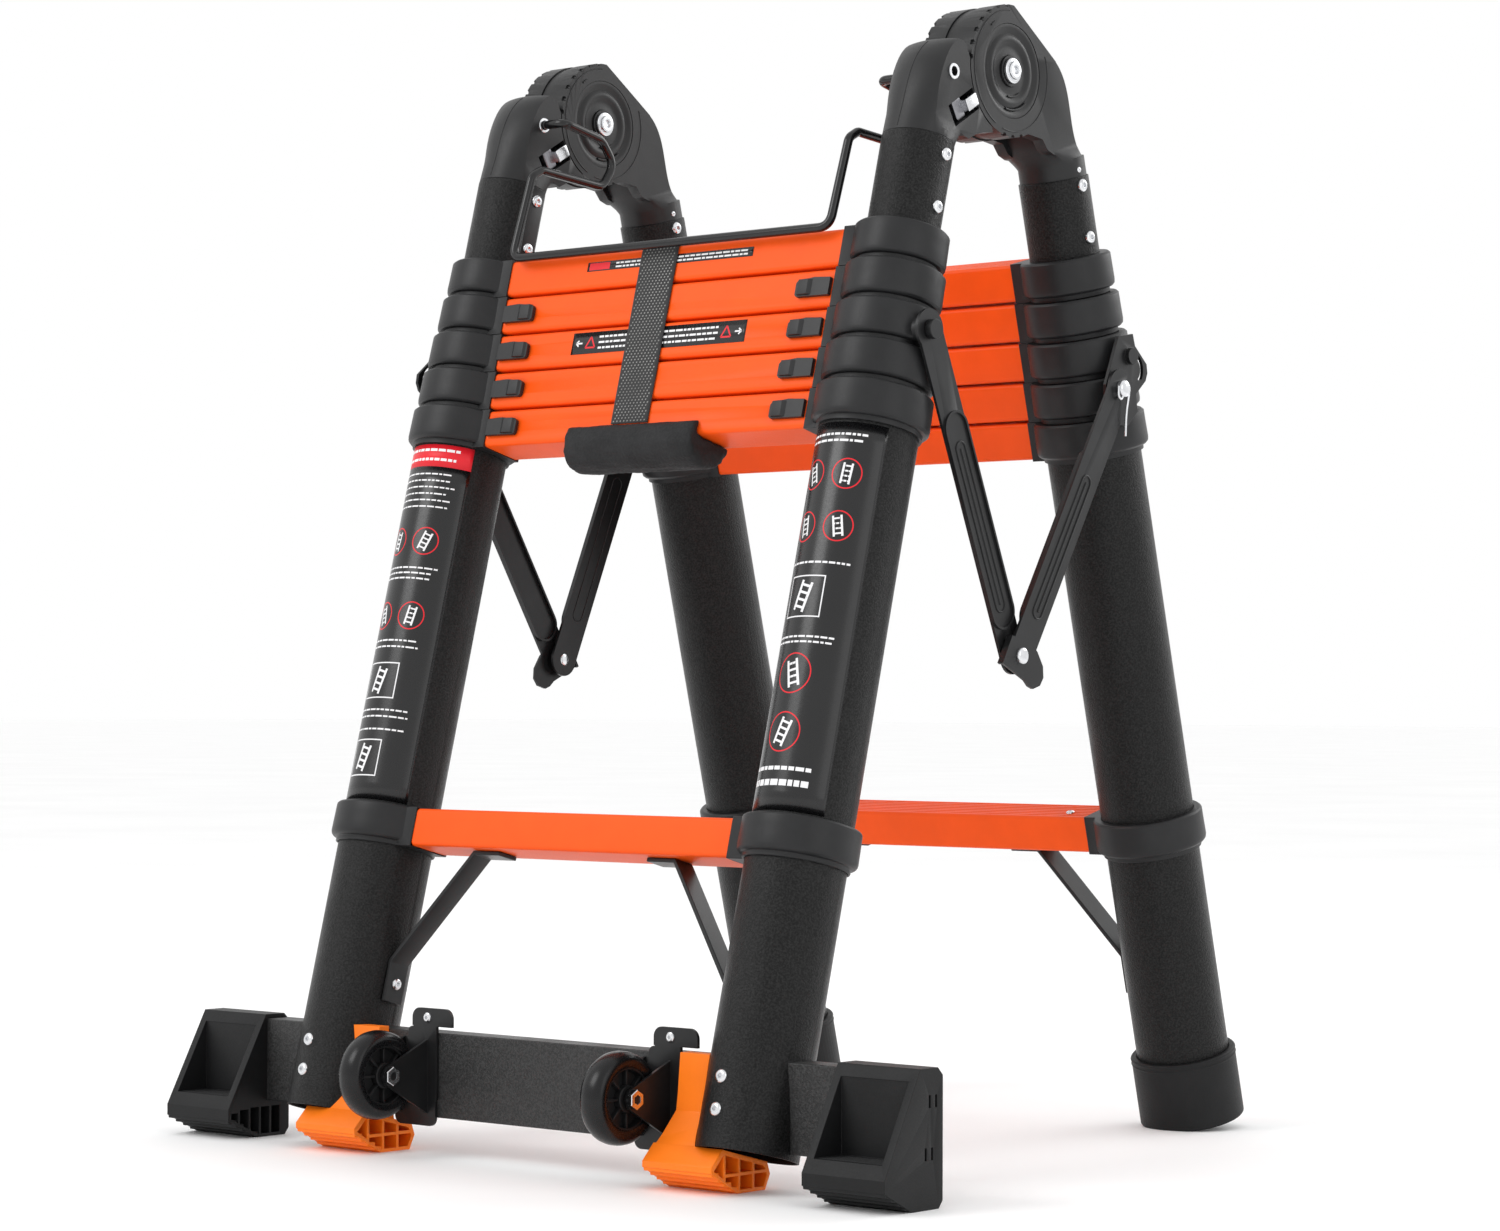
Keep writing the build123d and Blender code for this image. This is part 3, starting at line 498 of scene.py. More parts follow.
# ---- release bail, as one smooth bent wire ----
BAIL = [(185, 62, 25), (152, 62, 25), (152, 20, 22.5), (152, 2, 36), (152, 10, 57), (152, 76, 68.5),
        (152, 84, 76), (152, 88.2, 143)]
BAIL += [(-x, n, s) for x, n, s in reversed(BAIL)]
BENDS = [7, 14, 13, 13, 8, 9, 10]
ROUTE = rounded([Vector((x, -n, -s)) for x, n, s in BAIL], BENDS + BENDS[::-1])
piece("release_bail_wire", sweep(ROUTE, 3.25), "front", "wire", "bail", ("release_bail",), 50)


# ---- hinges: pivot bolts, ringed discs, lock bolts, screws, seams ----
def mirrored(half):
    """A lathe profile and its mirror image in the plane z = 0."""
    return half + [(r, -z) for r, z in reversed(half)]


def pivot_bolts():
    half = [(0.0, 24.7), (2.6, 24.7), (3.0, 26.0), (5.3, 26.4), (6.2, 26.1), (6.5, 25.5), (6.5, 24.4),
            (8.3, 24.4), (8.9, 24.0), (9.0, 22.6), (8.8, 22.45), (5.95, 22.4)]
    for hand, sign in HANDS:
        bm = lathe(mirrored(half), 40, along_x(sign * STILE_X, 0, 0))
        piece(f"hinge_pivot_bolt_{hand}", bm, "front", "bright", "front_top", ("hinge_pivot_bolts",), 40)


def arc_points(radius, start, stop, x, steps=40):
    """Points round the hinge axis from one angle to another, 0 down the stile, 90 outward."""
    points = []
    for i in range(steps + 1):
        a = math.radians(start + (stop - start) * i / steps)
        points.append(Vector((x, -radius * math.sin(a), -radius * math.cos(a))))
    return points


def ringed_discs():
    """Stamped rings in the recess of each cheek, and the faint ring line round it."""
    profile = [(11.3, 0.0), (11.5, 0.9), (14.0, 0.7), (16.5, 0.35), (18.6, 0.6), (20.3, 1.7), (22.0, 2.15),
               (24.0, 2.1), (25.4, 1.2), (26.6, 0.5), (28.2, 0.8), (30.0, 1.9), (31.6, 2.2), (33.2, 2.05),
               (33.45, 0.0)]
    for hand, sign in HANDS:
        for face in (-1, 1):
            floor_x = sign * STILE_X + face * (CHEEK_HALF - CHEEK_RECESS)
            disc = lathe(profile, 64, facing_x(floor_x, 0, 0, face))
            lines = [sweep(arc_points(42.6, a, b, floor_x + face * 2.35), 0.5, 8)
                     for a, b in ((-28, 96), (168, 320))]
            marks = [sweep(arc_points(r, a, b, floor_x + face * h, 10), 0.8, 8)
                     for r, a, b, h in ((18.0, -22, 22, 0.9), (27.3, -26, 26, 1.2), (37.6, 196, 204, 2.35))]
            side = "outer" if face == sign else "inner"
            bm = join(disc, *lines, *marks)
            piece(f"hinge_ring_disc_{hand}_{side}", bm, "back", "casting", "back_top", (), 40)


def lock_bolts():
    """Bright bar in the casting's window, with its darker guide block behind."""
    for hand, sign in HANDS:
        for label, radius, size, mat, width in (("bar", 54.8, (48, 13, 9), "bright", 0.8),
                                                ("guide", 65.3, (38, 10, 15), "zinc", 1.6)):
            bm = block(*((-side / 2, side / 2) for side in size), width, 3)
            reach = radius * math.sqrt(0.5)
            spot = Matrix.Translation((sign * STILE_X, -reach, -reach))
            bm.transform(spot @ Matrix.Rotation(math.radians(45), 4, "X"))
            piece(f"hinge_lock_{label}_{hand}", bm, "front", mat, "lock_bolts", ("hinge_lock_bolts",))


def button_head(radius, height, place):
    """Button-head screw: a domed lathe with a six-sided socket cut in it."""
    outer = [(radius, -0.4), (radius, height * 0.3), (radius * 0.93, height * 0.62),
             (radius * 0.72, height * 0.92), (radius * 0.5, height)]
    bm = bmesh.new()
    count, flat = 30, math.pi / 6
    rings = [[bm.verts.new((r * c, r * s, h)) for c, s in circle(count)] for r, h in outer]
    for depth in (height * 0.97, height * 0.25):
        ring = []
        for i, (c, s) in enumerate(circle(count)):
            wedge = (2 * math.pi * i / count) % (2 * flat) - flat
            r = radius * 0.4 * math.cos(flat) / math.cos(wedge)
            ring.append(bm.verts.new((r * c, r * s, depth)))
        rings.append(ring)
    loft(bm, rings)
    bm.transform(place)
    return bm


def facing_x(x, n, s, sign):
    return along_x(x, n, s) if sign > 0 else along_x(x, n, s) @ Matrix.Rotation(math.pi, 4, "X")


def top_tube_screws():
    """Pairs of screws through the innermost tubes, and the strips under the inner front ones."""
    edge = TUBE_R[5] - 0.1
    for side, rows in (("front", (85.6, 123.9)), ("back", (90.3, 128.0))):
        body = f"{side}_top"
        for hand, sign in HANDS:
            heads = []
            for face in (-1, 1):
                strip = 1.6 if side == "front" and face != sign else 0.0
                x = sign * STILE_X + face * (edge + strip)
                heads += [button_head(4.7, 2.3, facing_x(x, 59.5, s, face)) for s in rows]
                if side == "back":
                    rivet_x = sign * STILE_X + face * 24.2
                    heads.append(button_head(2.1, 0.9, facing_x(rivet_x, 60, 79.0, face)))
            piece(f"{side}_top_screws_{hand}", join(*heads), side, "bright", body, (), 40)
            if side == "front":
                inner = sign * (STILE_X - edge)
                x = sorted((inner - sign * 1.7, inner + sign * 2.0))
                bm = block(x, (52.5, 66.5), (75.5, 136.5), 0.7)
                piece(f"front_screw_strip_{hand}", bm, "front", "steel_black", "front_top")


def bail_bushes():
    profile = [(3.4, -1.0), (5.6, -1.0), (5.6, 0.7), (5.2, 1.15), (3.8, 1.15), (3.4, 0.8)]
    for hand, sign in HANDS:
        rings = [lathe(profile, 28, facing_x(sign * STILE_X + face * CHEEK_HALF, 62, 25, face))
                 for face in (-1, 1)]
        piece(f"bail_bushes_{hand}", join(*rings), "front", "bright", "front_top", (), 40)


def seam(obj, side, x, rows, start_n=120.0):
    """Raised parting line down a casting's outer edge, found by casting rays at its mesh."""
    to_row = TO_ROW[side]
    points = []
    for i in range(41):
        s = rows[0] + (rows[1] - rows[0]) * i / 40
        origin = to_row @ Vector((x, -start_n, -s))
        aim = (to_row.to_3x3() @ Vector((0, 1, 0))).normalized()
        hit, spot, _, _ = obj.ray_cast(origin, aim)
        if hit:
            points.append(to_row.inverted() @ spot + Vector((0, 0.12, 0)))
    return sweep(points, 0.45, 8)


def seams():
    for side, arms, rows in (("front", FRONT_ARMS, (3.0, 72.0)), ("back", REAR_DRUMS, (4.0, 72.0))):
        for arm in arms:
            hand = "right" if arm.name.endswith("right") else "left"
            world_x = STILE_X if hand == "right" else -STILE_X
            bm = seam(arm, side, world_x if side == "front" else -world_x, rows)
            piece(f"{arm.name}_seam", bm, side, "casting", f"{side}_top")


pivot_bolts()
ringed_discs()
lock_bolts()
top_tube_screws()
bail_bushes()
seams()


# ---- strap ----
def strap():
    """Ribbed webbing over the top rung and down the front of the stack."""
    low_x, high_x = -28.0, 7.0
    route = [(42.4, 162.0), (42.4, 144.5), (43.6, 141.0), (47.0, 140.1), (76.0, 140.1), (79.4, 140.7),
             (80.6, 143.5), (80.6, 275.0)]
    line = []
    for (n0, s0), (n1, s1) in zip(route, route[1:]):
        steps = max(1, round(math.hypot(n1 - n0, s1 - s0) / 1.1))
        line += [(n0 + (n1 - n0) * i / steps, s0 + (s1 - s0) * i / steps) for i in range(steps)]
    line.append(route[-1])
    columns = 32
    bm = bmesh.new()
    grids = []
    for face in (1, -1):
        grid = []
        for i, (n, s) in enumerate(line):
            before, after = line[max(i - 1, 0)], line[min(i + 1, len(line) - 1)]
            along = Vector((after[0] - before[0], after[1] - before[1])).normalized()
            out = Vector((along.y, -along.x))
            rib = 0.62 + (0.16 if i % 2 else 0.0)
            row = []
            for j in range(columns + 1):
                lift = rib + (0.08 if (i + j) % 2 else 0.0) if 0 < j < columns else 0.3
                x = low_x + (high_x - low_x) * j / columns
                row.append(bm.verts.new((x, -(n + face * lift * out.x), -(s + face * lift * out.y))))
            grid.append(row)
        grids.append(grid)
    top, under = grids
    flecks = []
    for i in range(len(line) - 1):
        for j in range(columns):
            bm.faces.new((top[i][j], top[i][j + 1], top[i + 1][j + 1], top[i + 1][j]))
            flecks.append(i % 2 == 0 and (j + i // 2) % 3 == 1 and 1 < j < columns - 2)
            bm.faces.new((under[i][j], under[i + 1][j], under[i + 1][j + 1], under[i][j + 1]))
            flecks.append(False)
        for j in (0, columns):
            bm.faces.new((top[i][j], under[i][j], under[i + 1][j], top[i + 1][j]))
            flecks.append(False)
    for i in (0, len(line) - 1):
        for j in range(columns):
            bm.faces.new((top[i][j], top[i][j + 1], under[i][j + 1], under[i][j]))
    obj = piece("carry_strap_webbing", bm, "front", "webbing", "front_top", ("carry_strap",), 60)
    obj.data.materials.append(LOOKS["fleck"][1])
    for number, fleck in enumerate(flecks):
        obj.data.polygons[number].material_index = int(fleck)


strap()


# ---- padded handle ----
def handle():
    """Foam sleeve folded under the lowest rung of the stack."""
    low_x, high_x = -68.0, 57.0
    inner_n, rear_n, under_s = 79.8, 43.6, 286.0
    outline = [(inner_n, 275.6), (83.5, 275.4), (86.2, 277.0), (87.4, 283.0), (87.2, 290.0), (84.6, 297.0),
               (80.0, 302.2), (73.5, 305.2), (66.0, 306.0), (58.5, 304.6), (52.0, 300.6), (47.0, 294.6),
               (rear_n + 0.4, 288.2), (rear_n + 0.2, under_s), (56.0, under_s), (68.0, under_s),
               (inner_n, under_s), (inner_n, 281.0)]
    stations = 34
    bm = bmesh.new()
    rings = []
    middle = Vector((68.0, 294.0))
    for i in range(stations + 1):
        t = i / stations
        x = low_x + (high_x - low_x) * t
        ends = min(1.0, (t * stations + 0.3) / 2.6, ((1 - t) * stations + 0.9) / 1.9) ** 0.5
        ring = []
        for n, s in outline:
            if n < inner_n - 0.1 and s > under_s + 0.5 or n > inner_n + 0.1:
                n = middle.x + (n - middle.x) * (0.82 + 0.18 * ends)
                s = middle.y + (s - middle.y) * (0.82 + 0.18 * ends) if s > under_s else s
            ring.append(bm.verts.new((x, -n, -s)))
        rings.append(ring)
    loft(bm, rings)
    obj = piece("carry_handle_sleeve", bm, "front", "grip", "front_base", ("carry_handle",), 50)
    swell(obj)
    wrinkle(obj)


TO_SECTION = TO_ROW["front"].inverted()


def near_rung(point):
    """Whether a section-frame point lies on the sleeve's side that hugs the rung."""
    n, s = -point.y, -point.z
    return n < 80.9 and s < 287.2


def swell(obj):
    """Cloth simulation that fills the sleeve out; the side against the rung stays put."""
    scene = bpy.context.scene
    frames, cap = 20, 0.0016                 # length of the simulation; the furthest a point may move
    remesh = obj.modifiers.new("remesh", "REMESH")
    remesh.mode = "VOXEL"
    remesh.voxel_size = 0.0028
    start = baked(obj)
    obj.modifiers.remove(remesh)
    obj.data = start
    cloth = obj.modifiers.new("cloth", "CLOTH")
    cloth.settings.use_pressure = True
    cloth.settings.uniform_pressure_force = 4.0
    cloth.settings.effector_weights.gravity = 0.0
    cloth.point_cache.frame_start = 1
    cloth.point_cache.frame_end = frames
    for number in range(1, frames + 1):
        scene.frame_set(number)
    graph = bpy.context.evaluated_depsgraph_get()
    swollen = [v.co.copy() for v in obj.evaluated_get(graph).data.vertices]
    obj.modifiers.remove(cloth)
    scene.frame_set(1)
    for vert, goal in zip(start.vertices, swollen):
        if near_rung(TO_SECTION @ vert.co):
            continue
        move = goal - vert.co
        if move.length > cap:
            move *= cap / move.length
        vert.co += move
    start.materials.clear()
    start.materials.append(LOOKS["grip"][1])
    start.polygons.foreach_set("use_smooth", [True] * len(start.polygons))
    start.update()


def wrinkle(obj):
    """Shallow lengthwise creases, as foam has where it is folded."""
    smooth = obj.modifiers.new("smooth", "SUBSURF")
    smooth.levels = smooth.render_levels = 1
    mesh = baked(obj)
    obj.modifiers.remove(smooth)
    normals = [v.normal.copy() for v in mesh.vertices]
    for vert, normal in zip(mesh.vertices, normals):
        p = TO_SECTION @ vert.co
        if near_rung(p):
            continue
        crease = mnoise.noise(Vector((p.x * 0.05, p.y * 0.22, p.z * 0.22)))
        fine = mnoise.noise(Vector((p.x * 0.2, p.y * 0.6, p.z * 0.6)))
        vert.co += normal * (0.00075 * crease + 0.00022 * fine)
    mesh.polygons.foreach_set("use_smooth", [True] * len(mesh.polygons))
    obj.data = mesh


handle()


# ---- labels: plain marks only, no lettering ----
LABEL_R = TUBE_R[1] + 0.12
LABEL_HALF, LABEL_LOW = 37.5, 556.0      # half its width round the tube, and s of its lower edge


def cell(bm, spot, u, v):
    """Small patch from (low, high) ranges of label coordinates, placed by spot(u, v)."""
    steps = max(1, math.ceil((u[1] - u[0]) / 2.5))
    for i in range(steps):
        a, b = u[0] + (u[1] - u[0]) * i / steps, u[0] + (u[1] - u[0]) * (i + 1) / steps
        corners = [bm.verts.new(spot(p, q)) for p, q in ((a, v[0]), (b, v[0]), (b, v[1]), (a, v[1]))]
        bm.faces.new(corners)


def ring_mark(bm, spot, u, v, radius, width, count=40):
    inner, outer = ([bm.verts.new(spot(u + r * c, v + r * s)) for c, s in circle(count)]
                    for r in (radius - width, radius))
    skin(bm, inner, outer)


def slanted(bm, spot, start, end, width):
    """Straight bar between two label points."""
    a, b = Vector(start), Vector(end)
    out = Vector((-(b - a).y, (b - a).x)).normalized() * width / 2
    steps = max(1, math.ceil((b - a).length / 3))
    for i in range(steps):
        p, q = a.lerp(b, i / steps), a.lerp(b, (i + 1) / steps)
        bm.faces.new([bm.verts.new(spot(*w)) for w in (p - out, q - out, q + out, p + out)])


def ladder_mark(bm, spot, u, v, size, lean):
    """A small plain ladder: two rails and four rungs."""
    axis = Vector((math.sin(lean), -math.cos(lean)))
    out = Vector((axis.y, -axis.x))
    centre = Vector((u, v))
    for hand in (-1, 1):
        rail = centre + out * hand * size * 0.2
        slanted(bm, spot, rail - axis * size * 0.5, rail + axis * size * 0.5, size * 0.1)
    for k in range(4):
        rung = centre + axis * size * (k - 1.5) * 0.24
        slanted(bm, spot, rung - out * size * 0.2, rung + out * size * 0.2, size * 0.08)


def dashes(bm, spot, u, v, height, rng):
    """A row of short bars of uneven length."""
    at = u[0]
    while at < u[1] - 1.5:
        length = min(rng.uniform(2.0, 6.5), u[1] - at)
        cell(bm, spot, (at, at + length), (v - height / 2, v + height / 2))
        at += length + 1.0


def frame_mark(bm, spot, u, v, width):
    for row in ((v[0], v[0] + width), (v[1] - width, v[1])):
        cell(bm, spot, u, row)
    for column in ((u[0], u[0] + width), (u[1] - width, u[1])):
        cell(bm, spot, column, (v[0] + width, v[1] - width))


def label_sheet(name, bm, mat, body):
    """A label's film, 0.1 mm thick."""
    bmesh.ops.remove_doubles(bm, verts=bm.verts, dist=1e-3)
    mod = piece(name, bm, "front", mat, body).modifiers.new("thickness", "SOLIDIFY")
    mod.thickness = 0.1 * MM
    mod.offset = 1.0


def tube_label(hand, sign, rng):
    def spot_at(radius):
        def spot(u, v):
            a = u / TUBE_R[1]
            return (sign * STILE_X + radius * math.sin(a), -(STILE_N + radius * math.cos(a)), -v)
        return spot

    spot = spot_at(LABEL_R)
    top = 304.5 if hand == "left" else 288.5
    sheet = bmesh.new()
    for i in range(20):
        low = top + (LABEL_LOW - top) * i / 20
        cell(sheet, spot, (-LABEL_HALF, LABEL_HALF), (low, low + (LABEL_LOW - top) / 20))
    white, red = bmesh.new(), bmesh.new()
    marks = spot_at(LABEL_R + 0.12)
    if hand == "left":
        header = bmesh.new()
        cell(header, spot, (-LABEL_HALF, LABEL_HALF), (287.5, top))
        label_sheet("tube_label_header", header, "label_red", "front_base")
        rows = [(291.8, 2.0), (299.0, 2.0), (310.2, 1.1), (315.2, 1.1), (320.2, 1.1), (325.2, 1.1),
                (330.2, 1.1), (335.2, 1.1), (382.0, 1.2), (386.0, 1.2), (390.0, 1.2), (437.3, 1.2),
                (442.0, 1.2), (489.6, 1.2), (494.5, 1.2), (504.1, 1.2)]
        rings = [(u, v, 10.6) for v in (361.5, 418.2) for u in (-14.5, 13.5)]
        frames = [((-20.0, 12.6), (454.0, 481.0)), ((-20.0, 10.2), (511.7, 539.1))]
    else:
        rows = [(297.0, 1.6), (301.4, 1.6), (386.5, 1.4), (437.8, 1.3), (441.4, 1.3), (527.6, 2.6),
                (537.3, 4.2)]
        rings = [(u, v, 10.8) for v in (324.5, 361.0) for u in (-14.5, 14.0)]
        rings += [(-1.0, 463.0, 14.0), (-1.5, 503.0, 13.8)]
        frames = [((-20.0, 12.0), (395.5, 424.5))]
    for v, height in rows:
        reach = 28.5 - rng.uniform(0.0, 6.0)
        dashes(white, marks, (-26.0, reach), v, height, rng)
    for u, v, radius in rings:
        ring_mark(red, marks, u, v, radius, 0.9)
        ladder_mark(white, marks, u, v, radius * 1.35, rng.uniform(-0.3, 0.5))
    for u, v in frames:
        frame_mark(white, marks, u, v, 0.9)
        ladder_mark(white, marks, (u[0] + u[1]) / 2, (v[0] + v[1]) / 2, (v[1] - v[0]) * 0.72, 0.25)
    label_sheet(f"tube_label_{hand}", sheet, "label", "front_base")
    piece(f"tube_label_{hand}_bars", white, "front", "label_white", "front_base")
    piece(f"tube_label_{hand}_rings", red, "front", "label_red", "front_base")


def rung_label(name, body, x, s, rng):
    def spot(lift):
        return lambda u, v: (u, -(RUNG_FACE + lift), -v)

    sheet, white, red = bmesh.new(), bmesh.new(), bmesh.new()
    cell(sheet, spot(0.12), x, s)
    marks = spot(0.24)
    middle, height = (s[0] + s[1]) / 2, s[1] - s[0]
    if height > 8:
        for end, step in ((x[0], 1), (x[1], -1)):
            for reach, rise in ((10, 0), (6.5, -2.2), (6.5, 2.2)):
                slanted(white, marks, (end + step * 4, middle), (end + step * reach, middle + rise), 1.2)
            for a, b in (((0, -4.6), (4.6, 3.6)), ((4.6, 3.6), (-4.6, 3.6)), ((-4.6, 3.6), (0, -4.6))):
                centre = end + step * 18
                slanted(red, marks, (centre + a[0], middle + a[1]), (centre + b[0], middle + b[1]), 1.3)
        for k in range(3):
            dashes(white, marks, (x[0] + 26, x[1] - 26), middle + (k - 1) * 4.2, 1.5, rng)
    else:
        cell(red, marks, (x[0] + 2, x[0] + 22), (s[0] + 0.8, s[1] - 0.8))
        for k in range(2):
            dashes(white, marks, (x[0] + 28, x[1] - 4), s[0] + height * (0.3 + 0.4 * k), 1.3, rng)
    label_sheet(name, sheet, "label", body)
    piece(f"{name}_bars", white, "front", "label_white", body)
    piece(f"{name}_marks", red, "front", "label_red", body)


RNG = random.Random(7)
tube_label("right", 1, RNG)
tube_label("left", -1, RNG)
rung_label("top_rung_label", "front_top", (-81.0, 78.0), (148.6, 155.6), RNG)
rung_label("third_rung_label", "front_stage3", (-82.0, 84.0), (203.0, 219.4), RNG)


# ---- bolts and rivets of the base ----
def base_bolts():
    """Bolts through the front tubes, brace screws, tread rivets and the wheel forks' bolts."""
    brace_x = STILE_X - TUBE_R[1] - 3.3
    for side in SIDES:
        heads = []
        if side == "front":
            for x in (-199.0, 191.8):
                reach = math.sqrt(TUBE_R[1] ** 2 - (abs(x) - STILE_X) ** 2)
                heads += [button_head(4.6, 2.4, along_n(x, STILE_N + reach - 0.2, s)) for s in (733.0, 754.5)]
        for sign in (-1, 1):
            heads.append(button_head(4.2, 2.2, facing_x(sign * brace_x, 61, 684, -sign)))
            heads.append(button_head(3.2, 1.3, Matrix.Translation((sign * 129.0, -55.0, -557.9))))
        piece(f"{side}_base_bolts", join(*heads), side, "bright", f"{side}_base", (), 40)
    head = [(6.75, 0.0), (6.75, 3.0), (6.2, 3.5), (3.4, 3.6), (3.0, 2.2), (0.0, 2.0), (0.0, 0.0)]
    for hand, x in (("right", WHEEL_X), ("left", -WHEEL_X)):
        tab = button_head(3.6, 1.8, along_n(x + 13.4, -BAR_FRONT + 2.4, 665.5))
        hexagon = lathe(head, 6, along_x(x + 13.3, -WHEEL_Y, -WHEEL_Z))
        piece(f"wheel_fork_bolts_{hand}", join(tab, hexagon), "upright", "bright", "front_base", (), 25)


base_bolts()


# ---- wheels ----
def wheels():
    tyre = mirrored([(20.5, -8.6), (22.0, -9.6), (25.5, -9.9), (28.4, -8.6), (30.2, -5.6), (31.0, -2.0)])
    hub = mirrored([(4.05, -9.0), (8.2, -9.0), (8.8, -8.4), (9.0, -3.6), (18.6, -3.4), (19.4, -8.2),
                    (20.7, -8.4)])
    for hand, sign in HANDS:
        place = along_x(sign * WHEEL_X, -WHEEL_Y, -WHEEL_Z)
        parts = [lathe(hub, 48, place)]
        for k in range(8):
            spin = Matrix.Rotation(2 * math.pi * k / 8, 4, "Z")
            for face in (-1, 1):
                rib = block((8.5, 19.1), (-0.9, 0.9), (-face * 5.2 - 2.2, -face * 5.2 + 2.2), 0.4, 1)
                rib.transform(place @ spin)
                parts.append(rib)
        piece(f"transport_wheel_{hand}", lathe(tyre, 72, place), "upright", "tyre", f"{hand}_wheel_body",
              (f"{hand}_wheel",), 40)
        piece(f"wheel_hub_{hand}", join(*parts), "upright", "rubber", f"{hand}_wheel_body",
              (f"{hand}_wheel",), 40)


wheels()


# ---- feet: treads, slots and hollow ends ----
def slope_treads(ends, start, step, nose, middle, depth):
    """Four steps down the sloping sole, from (y, z) points; nose is the first lower corner."""
    steps = []
    for k in range(4):
        y, z = start[0] + step[0] * k, start[1] + step[1] * k
        shape = [(y, z + 1.0), (y + nose[0], z + nose[1]), (y + middle, z - 2.5), (y + depth, z - 2.6),
                 (y + depth, z + 0.5)]
        steps.append(soften(upright_plate(shape, *ends), 0.4, 1))
    return steps


def sole_ribs(ends, first, pitch, half):
    """Three flat ribs under the level part of the sole."""
    low, high = FLOOR_Z - 1.6, FLOOR_Z - 0.05
    return [block(ends, (-y - half, -y + half), (low, high), 0.4, 1)
            for y in (first + pitch * k for k in range(3))]


def foot_details():
    cells = [[(-287, -743), (-280.5, -743), (-280.5, -750.2), (-287, -747)],
             [(-278.6, -741), (-270.4, -741), (-270.4, -755.4), (-278.6, -751.3)],
             [(-268.5, -740), (-260.3, -740), (-260.3, -759.6), (-268.5, -756.4)],
             [(-258.4, -740), (-250.2, -740), (-250.2, -759.6), (-258.4, -759.6)],
             [(-248.3, -740), (-240.2, -740), (-240.2, -759.6), (-248.3, -759.6)]]
    slots = [[(y, z + 4), (y + 1.9, z + 4), (y + 1.9, z - 4), (y, z - 4)]
             for y, z in ((-245.5, -694.0), (-239.0, -694.0), (-249.5, -727.0), (-243.0, -727.0))]
    for foot in END_FEET:
        sign = 1 if foot.name.endswith("right") else -1
        inner, outer = sign * FOOT_X[0], sign * FOOT_X[1]
        cutters = []
        for shapes, face, depth in ((cells, inner, 20.0), (slots, outer, -1.6)):
            low, high = sorted((face + sign * depth, face - sign * math.copysign(1.0, depth)))
            cutters += [in_row(upright_plate(shape, low, high), "upright") for shape in shapes]
        carve(foot, cutters)
        low, high = sorted((inner, outer))
        ends = (low + 0.6, high - 0.6)
        treads = slope_treads(ends, (-289.6, -748.4), (6.9, -3.3), (0.2, -1.9), 6.2, 8.4)
        for k in range(5):
            y = -281.0 + 4.4 * k
            treads.append(sweep([Vector((low + 7, y, LEDGE_Z)), Vector((high - 7, y, LEDGE_Z))], 0.5, 8))
        treads += sole_ribs(ends, -258.5, 8.5, 2.6)
        piece(f"{foot.name}_treads", join(*treads), "upright", "rubber", "front_base")


def pad_details():
    cells = [[(-289, -745.6), (-279.6, -736.2), (-279.6, -751.2)],
             [(-277.4, -736.2), (-265, -739.4), (-265, -748.4), (-277.4, -748.4)],
             [(-277.4, -750.6), (-265, -750.6), (-265, -759.6), (-266.5, -759.6), (-277.4, -753.4)],
             [(-262.8, -740.0), (-251, -743.1), (-251, -748.4), (-262.8, -748.4)],
             [(-262.8, -750.6), (-251, -750.6), (-251, -759.6), (-262.8, -759.6)],
             [(-248.8, -743.8), (-239, -746.4), (-238, -748.4), (-248.8, -748.4)],
             [(-248.8, -750.6), (-237, -750.6), (-236.4, -752.6), (-239.8, -759.6), (-248.8, -759.6)]]
    for pad in FOOT_PADS:
        sign = 1 if pad.name.endswith("right") else -1
        left, right = sorted(sign * x for x in PAD_X)
        spans = ((left - 1.0, left + 14.0), (right - 22.0, right + 1.0))
        carve(pad, [in_row(upright_plate(shape, *span), "upright") for shape in cells for span in spans])
        ends = (left + 0.5, right - 0.5)
        treads = slope_treads(ends, (-291.2, -747.6), (6.3, -3.5), (0.1, -1.8), 5.6, 7.6)
        treads += sole_ribs(ends, -261.0, 9.5, 2.8)
        piece(f"{pad.name}_treads", join(*treads), "upright", "pad", "front_base")


foot_details()
pad_details()


# ---- stays: pressed channels, hitch pins, clips and rivets ----
def to_yz(side, n, s):
    y = s * math.sin(LEAN) + n * math.cos(LEAN)
    return Vector((-y if side == "front" else y, -s * math.cos(LEAN) + n * math.sin(LEAN)))


def stadium(start, end, half, x, count=14):
    """Closed line round a straight slot shape between two (y, z) points."""
    along = (end - start).normalized()
    out = Vector((-along.y, along.x))
    points = []
    for centre, first in ((end, 0), (start, 1)):
        for k in range(count + 1):
            a = math.pi * (k / count) + math.pi * first - math.pi / 2
            p = centre + along * half * math.cos(a) + out * half * math.sin(a)
            points.append(Vector((x, p.x, p.y)))
    points.append(points[0].copy())
    return points


